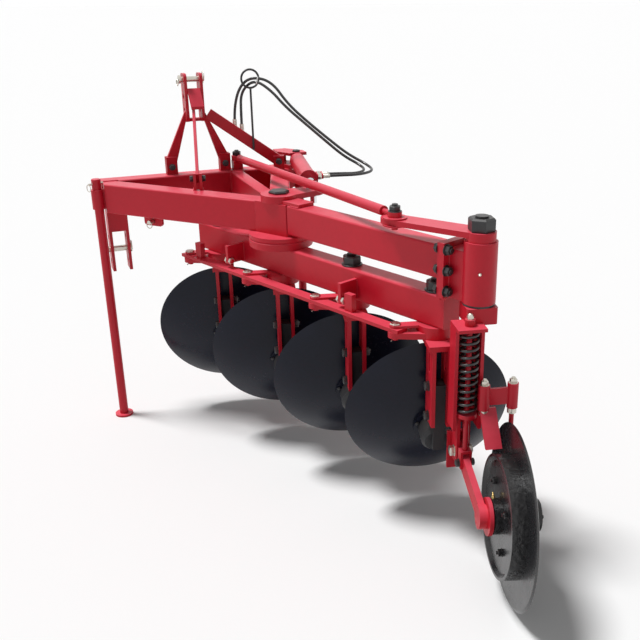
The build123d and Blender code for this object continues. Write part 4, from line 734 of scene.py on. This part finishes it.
@dataclass
class Hydraulics:
    """The two hoses from the cylinder's ports through the ring to the parked couplers."""

    layout: Layout
    nodes: dict[str, bpy.types.Object]
    diameter: float = 13.0
    lengths: tuple[float, float] = (1307.0, 1211.0)
    ports: tuple[float, float] = (440.0, 396.0)
    port_reach: float = 72.0
    straight: float = 80.0
    height: float = 1226.5
    ends: tuple[Point, Point] = ((183.053, -87.478, 1401.625), (214.253, -97.278, 1378.325))
    tie_x: float = 284.0
    routes: tuple[tuple[Point, ...], ...] = (
        ((626, -617, 1228), (707, -573, 1231), (709, -478, 1244), (640, -412, 1286), (561, -357, 1357),
         (483, -302, 1431), (405, -246, 1512), (346, -190, 1615), (259, -149, 1635), (206, -121, 1588)),
        ((618, -575, 1225), (681, -532, 1227), (684, -456, 1239), (621, -408, 1277), (547, -364, 1347),
         (470, -308, 1423), (390, -253, 1501), (335, -216, 1575), (271, -159, 1624), (218, -100, 1564)),
    )
    lines: list[list[Vector]] = field(default_factory=list)

    def route(self, number: int) -> list[Vector]:
        """All points of one hose in metres, from its port to its coupler."""
        drawing, cylinder = self.layout.drawing(), self.layout.cylinder()
        out = [cylinder @ Vector((self.ports[number], reach, self.height))
               for reach in (self.port_reach, self.port_reach + self.straight)]
        end = Vector(self.ends[number])
        drop = [drawing @ (end + Vector((0.0, 0.0, self.straight))), drawing @ end]
        return out + [drawing @ Vector(point) for point in self.routes[number]] + drop

    def spline(self, name: str, points: list[Vector], thick: bool) -> bpy.types.Object:
        """Smooth curve with the route's points as control points."""
        curve = bpy.data.curves.new(name, "CURVE")
        curve.dimensions = "3D"
        line = curve.splines.new("NURBS")
        line.points.add(len(points) - 1)
        for spot, point in zip(line.points, points):
            spot.co = (*point, 1.0)
        line.order_u = 3
        line.use_endpoint_u = True
        line.resolution_u = 12
        if thick:
            curve.bevel_depth = self.diameter / 2 * MM
            curve.bevel_resolution = 5
            curve.use_fill_caps = True
        piece = bpy.data.objects.new(name, curve)
        bpy.context.scene.collection.objects.link(piece)
        return piece

    def read(self, points: list[Vector]) -> list[Vector]:
        """Points along the smooth line that the hose follows."""
        bare = self.spline("bare_line", points, False)
        bpy.context.view_layer.update()
        shaped = bpy.data.meshes.new_from_object(bare.evaluated_get(bpy.context.evaluated_depsgraph_get()))
        line = [vertex.co.copy() for vertex in shaped.vertices]
        bpy.data.objects.remove(bare)
        bpy.data.meshes.remove(shaped)
        return line

    def crimps(self, count: int, first: float, pitch: float, dip: tuple[float, float],
               radii: tuple[float, float]) -> list[tuple[float, float]]:
        """Profile of the grooves that are pressed into a hose sleeve.

        Args:
            count: Number of grooves.
            first: Height of the first groove's edge.
            pitch: Distance from groove to groove.
            dip: Where a groove's floor starts and ends, from its edge.
            radii: Radius of the sleeve and of the grooves' floor.

        Returns:
            Pairs of radius and height.
        """
        outer, floor = radii
        profile = []
        for k in range(count):
            edge = first + pitch * k
            profile += [(outer, edge), (floor, edge + dip[0]), (floor, edge + dip[1])]
        return profile

    def fitting(self, name: str, start: Vector, ahead: Vector) -> bpy.types.Object:
        """Hex swivel nut and crimped sleeve where a hose meets its port."""
        mesh = Mesh(name)
        run = (ahead - start).normalized()
        turn = run.to_track_quat("Z", "Y").to_matrix().to_4x4()
        place = Matrix.Translation(start) @ turn @ Matrix.Scale(MM, 4)
        mesh.turned(place, [(14.2, -24.0), (15.4, -22.0), (15.4, -9.0), (14.2, -7.0)], 6)
        pressed = self.crimps(5, -4.0, 6.4, (2.4, 4.2), (10.6, 9.7))
        mesh.turned(place, [(8.6, -7.0), (10.6, -5.0), *pressed, (10.4, 29.0), (9.8, 31.0), (6.9, 31.4)], 20)
        return mesh.build(ZINC, "frame")

    def build(self) -> None:
        """Makes both hoses with their fittings and the tie that holds them together."""
        for k in range(len(self.routes)):
            points = self.route(k)
            line = self.read(points)
            self.lines.append(line)
            name = f"hose_{k + 1}"
            hose = self.spline(f"{name}_cover", points, True)
            hose.data.materials.append(HOSE.material())
            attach(hose, "frame")
            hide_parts(name)
            nut = self.fitting(f"{name}_fitting", points[0], points[1])
            sleeve = self.sleeve(f"{name}_sleeve", points[-1])
            LOG.info("%s laid with %d points", name, len(points))
        self.tie()

    def sleeve(self, name: str, end: Vector) -> bpy.types.Object:
        """Crimped sleeve over the hose end at its coupler."""
        mesh = Mesh(name)
        place = Matrix.Translation(end) @ Matrix.Scale(MM, 4)
        pressed = self.crimps(4, 4.0, 7.0, (2.2, 4.4), (10.8, 9.8))
        mesh.turned(place, [(10.2, 0.2), (10.8, 2.0), *pressed, (10.2, 33.0), (6.9, 34.0)], 20)
        return mesh.build(ZINC, "frame")

    def tie(self) -> None:
        """White cable tie round both hoses beside the ring."""
        x = self.layout.drawing() @ Vector((self.tie_x, 0.0, 0.0))
        picks = []
        for line in self.lines:
            k = min(range(len(line) // 2, len(line) - 1), key=lambda i: abs(line[i].x - x.x))
            picks.append((line[k], (line[k + 1] - line[k - 1]).normalized()))
        run = (picks[0][1] + picks[1][1]).normalized()
        across = picks[1][0] - picks[0][0]
        across -= run * across.dot(run)
        gap, side = across.length / 2, across.normalized()
        lift = run.cross(side)
        middle = (picks[0][0] + picks[1][0]) / 2
        reach = (self.diameter / 2 + 1.0) * MM
        outline = []
        for k in range(28):
            angle = math.tau * k / 28
            end = gap if math.cos(angle) > 0 else -gap
            outline.append((end + reach * math.cos(angle), reach * math.sin(angle)))
        mesh = Mesh("hose_tie")
        rings = []
        for offset, grow in ((-2.4, 0.0), (-2.4, 1.1), (2.4, 1.1), (2.4, 0.0)):
            ring = []
            for a, b in outline:
                out = Vector((a, b, 0.0)).normalized() * grow * MM
                ring.append(tuple(middle + run * offset * MM + side * (a + out.x) + lift * (b + out.y)))
            rings.append(ring)
        mesh.loft(Matrix.Identity(4), rings, closed=True)
        mesh.build(TIE, "frame")


@dataclass
class FrontFrame:
    """Fasteners, pins and weld beads of the fixed front frame."""

    layout: Layout
    top: float = 1185.0
    bottom: float = 1050.0
    beam: float = 90.0
    leg_foot_x: float = 130.0
    strut_feet: tuple[tuple[Point, float], ...] = (((-88.0, -430.0, 1233.0), 77.41),
                                                   ((372.0, -168.0, 1233.0), 162.56))
    lug_out: float = 19.4
    leg_faces: tuple[float, float] = (-65.3, -24.7)
    leg_bolt_height: float = 1222.0
    rod_front: Point = (190.0, -58.0, 1255.2)
    clevis_pin: Point = (475.0, -130.0, 1263.8)
    top_pin: tuple[Point, float, float] = ((52.0, -41.0, 1604.0), 42.0, 4.0)
    top_rings: tuple[tuple[Point, float, float], ...] = (((-68.0, -41.0, 1612.0), 15.0, 2.6),
                                                         ((52.0, -59.0, 1642.0), 19.0, 1.9))
    link_pin: tuple[Point, float, float] = ((359.0, -45.0, 825.0), 44.0, 3.6)
    link_ring: tuple[Point, float, float] = ((359.0, -62.0, 866.0), 18.0, 1.8)
    lock_place: tuple[float, float] = (-275.0, -292.0)
    lock_run: tuple[float, float] = (-637.0, 695.0)
    stands: tuple[tuple[str, float, float, float], ...] = (("left", -493.0, -125.0, 205.0),
                                                           ("right", 515.0, -35.0, -20.0))
    small_bolt: Fastener = Fastener(24, 13, 16)
    small_nut: Fastener = Fastener(24, 15, 16, 7, Head.NUT)
    rod_nut: Fastener = Fastener(36, 20, 0, 6, Head.NUT)
    clevis_nut: Fastener = Fastener(34, 9.5, 0, 0, Head.NUT)
    draw: Random = field(default_factory=lambda: Random(11))

    def bolts(self) -> None:
        """Black bolts of the mast feet, the steering rod's block and the cylinder's base."""
        mesh = Mesh("front_frame_bolts")
        place = self.layout.drawing()
        back, ahead = self.leg_faces
        for side in (-1, 1):
            x = side * self.leg_foot_x
            self.small_bolt.put(mesh, aimed(place, (x, back, self.leg_bolt_height), (0, -1, 0)))
            self.small_nut.put(mesh, aimed(place, (x, ahead, self.leg_bolt_height), (0, 1, 0)))
        for foot, heading in self.strut_feet:
            turn = math.radians(heading)
            normal = Vector((-math.sin(turn), math.cos(turn), 0.0))
            for side in (-1, 1):
                spot = Vector(foot) + normal * side * self.lug_out
                self.small_bolt.put(mesh, aimed(place, tuple(spot), tuple(normal * side)))
        self.rod_nut.put(mesh, aimed(place, self.rod_front, (0, 0, 1)))
        self.clevis_nut.put(mesh, aimed(place, self.clevis_pin, (0, 0, 1)))
        mesh.build(BLACK, "frame")

    def pins(self) -> None:
        """Zinc rings and lynch pins of the hitch pins and the transport lock."""
        mesh = Mesh("hitch_pin_rings")
        place = self.layout.drawing()
        pins, rings = [self.top_pin], list(self.top_rings)
        for side in (-1, 1):
            for rows, (spot, *sizes) in ((pins, self.link_pin), (rings, self.link_ring)):
                rows.append(((side * spot[0], spot[1], spot[2]), *sizes))
        for (x, y, z), rise, radius in pins:
            mesh.tube(place, [(x, y, z), (x, y, z + rise)], radius)
        for middle, radius, wire in rings:
            mesh.ring(aimed(place, middle, (1, 0, 0)), radius, wire)
        lock_turn = math.degrees(math.atan2(self.lock_run[1], self.lock_run[0]))
        lock = self.layout.spot(*self.lock_place, lock_turn)
        mesh.tube(lock, [(0.0, -38.0, 1027.0), (0.0, 38.0, 1027.0)], 9.5, 12)
        mesh.ring(aimed(lock, (0.0, 36.0, 1014.0), (0, 1, 0)), 14.0, 2.2)
        mesh.build(ZINC, "frame")

    def welds(self) -> None:
        """Beads where beams, lugs, legs and sleeves are welded together."""
        mesh = Mesh("front_frame_welds")
        place = self.layout.drawing()
        back, top = -self.beam, self.top
        runs: list[tuple[Point, Point, float]] = [
            ((-463.0, back, top), (-389.0, back, top), 4.5),
            ((-463.0, back, self.bottom + 6), (-463.0, back, top - 6), 4.5),
            ((-394.0, back, self.bottom + 6), (-394.0, back, top - 6), 4.5),
            ((147.0, back, top), (207.0, back, top), 4.0),
            ((147.0, back, self.bottom + 6), (147.0, back, top - 6), 4.0),
            ((342.0, back, top), (446.0, back, top), 4.5),
        ]
        for side in (-1, 1):
            x = side * self.leg_foot_x
            for y in (-65.2, -24.8):
                runs.append(((x - 26, y, top), (x + 26, y, top), 3.6))
            inner = side * 44.0
            runs.append(((inner, -37.0, 1436.0), (inner, -37.0, 1480.0), 3.2))
            runs.append(((inner, -53.0, 1436.0), (inner, -53.0, 1480.0), 3.2))
        for foot, heading in self.strut_feet:
            turn = math.radians(heading)
            run = Vector((math.cos(turn), math.sin(turn), 0.0))
            normal = Vector((-math.sin(turn), math.cos(turn), 0.0))
            base = Vector((foot[0], foot[1], top))
            for side in (-1, 1):
                edge = base + normal * side * self.lug_out
                runs.append((tuple(edge - run * 26), tuple(edge + run * 26), 3.6))
        for start, end, radius in runs:
            mesh.bead(place, start, end, radius, self.draw)
        mesh.build(RED, "frame", 60.0)

    def stand_pins(self) -> None:
        """Lynch pin across the head of each parking stand."""
        for name, x, y, turn in self.stands:
            mesh = Mesh(f"stand_{name}_pin")
            place = self.layout.spot(x, y, turn)
            mesh.tube(place, [(-34.0, 0.0, 1186.0), (40.0, 0.0, 1186.0)], 5.0, 10)
            mesh.ring(aimed(place, (40.0, 0.0, 1170.0), (1, 0, 0)), 16.0, 2.0)
            mesh.build(ZINC, f"stand_{name}")

    def build(self) -> None:
        """Dresses the front frame."""
        self.bolts()
        self.pins()
        self.welds()
        self.stand_pins()


@dataclass
class SwingFrame:
    """Fasteners and welds of the swinging beams."""

    layout: Layout
    flange_s: float = 980.0
    flange_side: float = 56.0
    flange_heights: tuple[float, ...] = (1182.0, 1106.0, 1030.0)
    lever_face: float = 1216.0
    lower_top: float = 997.5
    stops: tuple[float, float] = (-219.65, 511.0)
    tie_side: float = -121.35
    stop_height: float = 897.5
    stop_half: float = 8.2
    flange_thick: float = 30.0
    beam_half: float = 45.0
    rear_radius: float = 59.0
    nipple_turn: float = 0.9
    nipple_height: float = 1122.0
    flange_nut: Fastener = Fastener(30, 18, 21, 6, Head.NUT)
    flange_bolt: Fastener = Fastener(30, 16, 21)
    pivot_nut: Fastener = Fastener(77, 13.2, 0, 0, Head.NUT)
    stop_bolt: Fastener = Fastener(28, 11)
    draw: Random = field(default_factory=lambda: Random(23))

    def bolts(self) -> None:
        """Flange bolts, the main pivot's nut and the plated bolts of the two stops."""
        mesh = Mesh("swing_frame_bolts")
        place = self.layout.beam()
        for side in (-self.flange_side, self.flange_side):
            for z in self.flange_heights:
                ahead = self.flange_s - self.flange_thick
                self.flange_nut.put(mesh, aimed(place, (self.flange_s, side, z), (1, 0, 0)))
                self.flange_bolt.put(mesh, aimed(place, (ahead, side, z), (-1, 0, 0)))
        self.pivot_nut.put(mesh, aimed(place, (0, 0, self.lever_face + 0.3), (0, 0, 1)))
        mesh.build(BLACK, "swing")
        stops = Mesh("stop_bolts")
        for s in self.stops:
            for way in (-1, 1):
                spot = (s + way * self.stop_half, self.tie_side, self.stop_height)
                self.stop_bolt.put(stops, aimed(place, spot, (way, 0, 0)))
        stops.build(ZINC, "swing")

    def welds(self) -> None:
        """Beads round the end flange, the neck and the strap on the upper beam."""
        mesh = Mesh("swing_frame_welds")
        place = self.layout.beam()
        half = self.beam_half
        runs: list[tuple[Point, Point, float]] = [
            ((950.0, -half, 1186.0), (950.0, half, 1186.0), 4.2),
            ((965.0, -half, self.lower_top), (965.0, half, self.lower_top), 4.2),
        ]
        for side in (-1, 1):
            runs.append(((950.0, side * half, 1070.0), (950.0, side * half, 1180.0), 4.2))
            runs.append(((980.0, side * 40.0, 1008.0), (980.0, side * 40.0, 1182.0), 4.2))
            runs.append(((120.0, side * 40.0, 1186.0), (173.0, side * 40.0, 1186.0), 3.4))
        for s in self.stops:
            for way in (-8.0, 8.0):
                runs.append(((s + way, -half, 890.0), (s + way, -half, 962.0), 3.4))
        for start, end, radius in runs:
            mesh.bead(place, start, end, radius, self.draw)
        mesh.build(RED, "swing", 60.0)

    def nipple(self) -> None:
        """Grease nipple of the rear bearing."""
        mesh = Mesh("rear_bearing_nipple")
        way = Vector((math.cos(self.nipple_turn), -math.sin(self.nipple_turn), 0.0))
        foot = Vector((self.layout.rear_s, 0.0, self.nipple_height)) + way * self.rear_radius
        place = aimed(self.layout.beam(), tuple(foot), tuple(way))
        mesh.turned(place, [(6.0, -1.0), (6.0, 5.0)], 6)
        mesh.turned(place, [(4.2, 5.0), (4.2, 8.0), (2.6, 10.0), (3.6, 12.5), (2.6, 15.0), (1.2, 16.0)], 12)
        mesh.build(ZINC, "swing")

    def build(self) -> None:
        """Dresses the swing frame."""
        self.bolts()
        self.welds()
        self.nipple()


@dataclass
class DiscGang:
    """Fasteners of the four hangers, their hubs and the tie bar over them."""

    layout: Layout
    count: int = 4
    under_pivot: int = 2
    nut_base: float = 998.0
    side_x: float = -73.0
    side_y: float = 36.2
    bolt_heights: tuple[float, ...] = (650.0, 528.0)
    vertex: Point = (20.237, 0.0, 440.412)
    tilt: float = 15.0
    flange_back: float = -14.0
    tie_side: float = -121.35
    tie_lead: float = -88.17
    pin_bottom: float = 814.0
    pin_base: float = 873.5
    hub_bolts: int = 5
    hub_circle: float = 66.5
    hub_start: float = 0.3
    top_nut: Fastener = Fastener(66, 33.5, 42, 8, Head.NUT)
    side_bolt: Fastener = Fastener(30, 15, 20)
    side_nut: Fastener = Fastener(30, 17, 20, 7, Head.NUT)
    hub_bolt: Fastener = Fastener(13, 7)
    pin_head: Fastener = Fastener(37, 7)

    def build(self) -> None:
        """Dresses the gang."""
        for number in range(1, self.count + 1):
            self.hanger(number)
            self.hub(number)
        self.cotters()
        self.pin_heads()

    def hanger(self, number: int) -> None:
        """Top nut and the bolts that clamp the standard between the side plates."""
        mesh = Mesh(f"hanger_{number}_bolts")
        place = self.layout.hanger(number)
        if number != self.under_pivot:
            self.top_nut.put(mesh, aimed(place, (0, 0, self.nut_base), (0, 0, 1)))
        for z in self.bolt_heights:
            self.side_bolt.put(mesh, aimed(place, (self.side_x, self.side_y, z), (0, 1, 0)))
            self.side_nut.put(mesh, aimed(place, (self.side_x, -self.side_y, z), (0, -1, 0)))
        mesh.build(BLACK, f"gang_{number}")

    def hub(self, number: int) -> None:
        """Ring of bolt heads on the back of the disc's hub flange."""
        mesh = Mesh(f"disc_{number}_bolts")
        turn = math.radians(self.tilt)
        axis = Vector((math.cos(turn), 0.0, math.sin(turn)))
        place = aimed(self.layout.hanger(number), tuple(Vector(self.vertex) + axis * self.flange_back),
                      tuple(-axis))
        for spot in bolt_circle(self.hub_bolts, self.hub_circle, self.hub_start, 0.0):
            self.hub_bolt.put(mesh, place @ Matrix.Translation(spot))
        mesh.build(BLACK, f"disc_{number}")

    def pin_places(self) -> list[float]:
        """Places of the tie bar's pins along the beam, back from the main pivot."""
        ahead = self.layout.discs_ahead
        return [self.layout.disc_pitch * (k - ahead) + self.tie_lead for k in range(self.count)]

    def cotters(self) -> None:
        """Split pins under the tie bar's pins."""
        mesh = Mesh("tie_bar_cotters")
        place = self.layout.beam()
        z = self.pin_bottom + 6.0
        for s in self.pin_places():
            mesh.tube(place, [(s, self.tie_side - 22, z - 6), (s, self.tie_side - 10, z),
                              (s, self.tie_side + 10, z), (s, self.tie_side + 24, z + 1)], 2.2)
            mesh.ring(aimed(place, (s, self.tie_side + 29, z + 1), (0, 0, 1)), 6.0, 2.2, 12)
        mesh.build(ZINC, "tie_bar")

    def pin_heads(self) -> None:
        """Plated hex heads of the tie bar's pins, over the upper plates of the hanger levers."""
        mesh = Mesh("tie_bar_pin_heads")
        place = self.layout.beam()
        for s in self.pin_places():
            self.pin_head.put(mesh, aimed(place, (s, self.tie_side, self.pin_base), (0, 0, 1)))
        mesh.build(ZINC, "tie_bar")


@dataclass
class RearWheel:
    """Fasteners, seal and hub details of the steered furrow wheel."""

    layout: Layout
    steer_top: float = 1258.5
    rear_bottom: float = 1004.5
    boss_top: float = 967.5
    spring_x: float = -68.0
    arm_y: float = 48.75
    arm_pivot: Point = (-10.0, 48.75, 426.0)
    yoke_height: float = 405.85
    wheel_middle: Point = (-305.0, -24.0, 322.85)
    lean: float = -2.0
    toe: float = 4.3
    web_face: float = 14.0
    cap_face: float = -124.0
    clamp_x: float = -100.2
    clamp_base: float = 633.5
    clamp_top: float = 728.5
    clamp_ys: tuple[float, float] = (-3.25, -108.25)
    rear_eye: Point = (378.0, -1520.0, 1283.0)
    yoke_half: float = 21.4
    lug_half: float = 24.4
    web_circle: tuple[int, float, float] = (4, 122.0, 0.62)
    cap_circle: tuple[int, float, float] = (5, 38.0, 0.4)
    nipple_turn: float = 2.2
    nipple_foot: tuple[float, float] = (61.0, 30.0)
    pivot_nut: Fastener = Fastener(84, 47.5, 0, 6, Head.NUT)
    yoke_bolt: Fastener = Fastener(24, 12, 16)
    rod_nut: Fastener = Fastener(38, 18, 25, 7, Head.NUT)
    spring_nut: Fastener = Fastener(21, 22, 0, 0, Head.DOME)
    arm_bolt: Fastener = Fastener(34, 16, 22)
    clamp_nut: Fastener = Fastener(24, 14, 17, 6, Head.NUT)
    web_nut: Fastener = Fastener(22, 12, 15, 7, Head.NUT)
    cap_bolt: Fastener = Fastener(13, 7)

    def wheel_axes(self) -> Matrix:
        """Axes at the wheel's middle with z to its left."""
        lean, toe = math.radians(self.lean), math.radians(self.toe)
        left = (math.sin(toe) * math.cos(lean), math.cos(toe) * math.cos(lean), -math.sin(lean))
        return aimed(self.layout.carrier(), self.wheel_middle, left)

    def bolts(self) -> None:
        """Rear pivot nut, yoke bolts and the black seal under the rear bearing."""
        mesh = Mesh("wheel_unit_bolts")
        place = self.layout.carrier()
        self.pivot_nut.put(mesh, aimed(place, (0, 0, self.steer_top + 0.3), (0, 0, 1)))
        for side in (-1, 1):
            spot = (self.spring_x, self.arm_y + side * self.yoke_half, self.yoke_height)
            self.yoke_bolt.put(mesh, aimed(place, spot, (0, side, 0)))
        mesh.turned(aimed(place, (0, 0, self.rear_bottom - 8.4), (0, 0, 1)),
                    [(53.0, 0.0), (57.6, 0.6), (58.6, 3.8), (57.6, 7.4), (53.0, 7.8)], 40)
        mesh.build(BLACK, "wheel_unit")
        rod = Mesh("steering_rod_bolt")
        self.rod_nut.put(rod, aimed(self.layout.drawing(), self.rear_eye, (0, 0, 1)))
        rod.build(BLACK, "steering_rod")

    def plated(self) -> None:
        """Zinc dome nut of the spring rod, the arm's pivot bolt, and the scraper clamps' nuts and collars."""
        mesh = Mesh("wheel_unit_plated_bolts")
        place = self.layout.carrier()
        self.spring_nut.put(mesh, aimed(place, (self.spring_x, self.arm_y, self.boss_top + 0.2), (0, 0, 1)))
        for side in (-1, 1):
            spot = (self.arm_pivot[0], self.arm_pivot[1] + side * self.lug_half, self.arm_pivot[2])
            self.arm_bolt.put(mesh, aimed(place, spot, (0, side, 0)))
        for y in self.clamp_ys:
            self.clamp_nut.put(mesh, aimed(place, (self.clamp_x, y, self.clamp_top + 0.2), (0, 0, 1)))
            mesh.turned(aimed(place, (self.clamp_x, y, self.clamp_base - 22.0), (0, 0, 1)),
                        [(15.0, 0.0), (17.0, 2.0), (17.0, 20.0), (15.0, 21.8)], 24)
        mesh.build(ZINC, "wheel_unit")

    def rim_bolts(self) -> None:
        """Nuts on the wheel's web, the bolts of the hub cap and the hub's grease nipple."""
        mesh = Mesh("furrow_wheel_bolts")
        place = self.wheel_axes()
        for spot in bolt_circle(*self.web_circle, self.web_face + 0.2):
            self.web_nut.put(mesh, place @ Matrix.Translation(spot))
        outward = Matrix.Rotation(math.pi, 4, "X")
        for spot in bolt_circle(*self.cap_circle, self.cap_face - 0.2):
            self.cap_bolt.put(mesh, place @ Matrix.Translation(spot) @ outward)
        mesh.build(WHEEL, "furrow_wheel")
        nipple = Mesh("furrow_wheel_nipple")
        way = Vector((math.cos(self.nipple_turn), math.sin(self.nipple_turn), 0.0))
        radius, height = self.nipple_foot
        out = aimed(place, tuple(way * radius + Vector((0.0, 0.0, height))), tuple(way))
        nipple.turned(out, [(7.0, 0.0), (7.0, 7.0)], 6)
        nipple.turned(out, [(4.6, 7.0), (4.6, 13.0), (3.0, 15.5), (4.0, 18.0), (3.0, 21.0), (1.4, 22.0)], 12)
        nipple.build(BRASS, "furrow_wheel")

    def build(self) -> None:
        """Dresses the wheel unit."""
        self.bolts()
        self.plated()
        self.rim_bolts()


def paint_nodes(frame: dict) -> None:
    """Gives each CAD node the finish of its slot in the record.
    """
    for row in frame["record"]["subparts"]:
        piece = frame["nodes"][row["node"]]
        finish = FINISHES[Slot(row["material_slot"])]
        piece.data.materials.clear()
        piece.data.materials.append(finish.material())
        LOG.info("%s painted with %s", row["node"], finish.name)


def main() -> None:
    """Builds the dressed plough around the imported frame."""
    logging.basicConfig(level=logging.INFO, format="%(message)s")
    for item in list(bpy.data.objects):
        bpy.data.objects.remove(item)
    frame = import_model()
    bpy.context.scene.view_settings.view_transform = "Standard"
    layout = Layout.packed()
    stage = Stage(layout)
    stage.camera()
    Hydraulics(layout, frame["nodes"]).build()
    paint_nodes(frame)
    for part in (FrontFrame(layout), SwingFrame(layout), DiscGang(layout), RearWheel(layout)):
        part.build()
    stage.floor()
    stage.light()


if __name__ == "__main__":
    main()
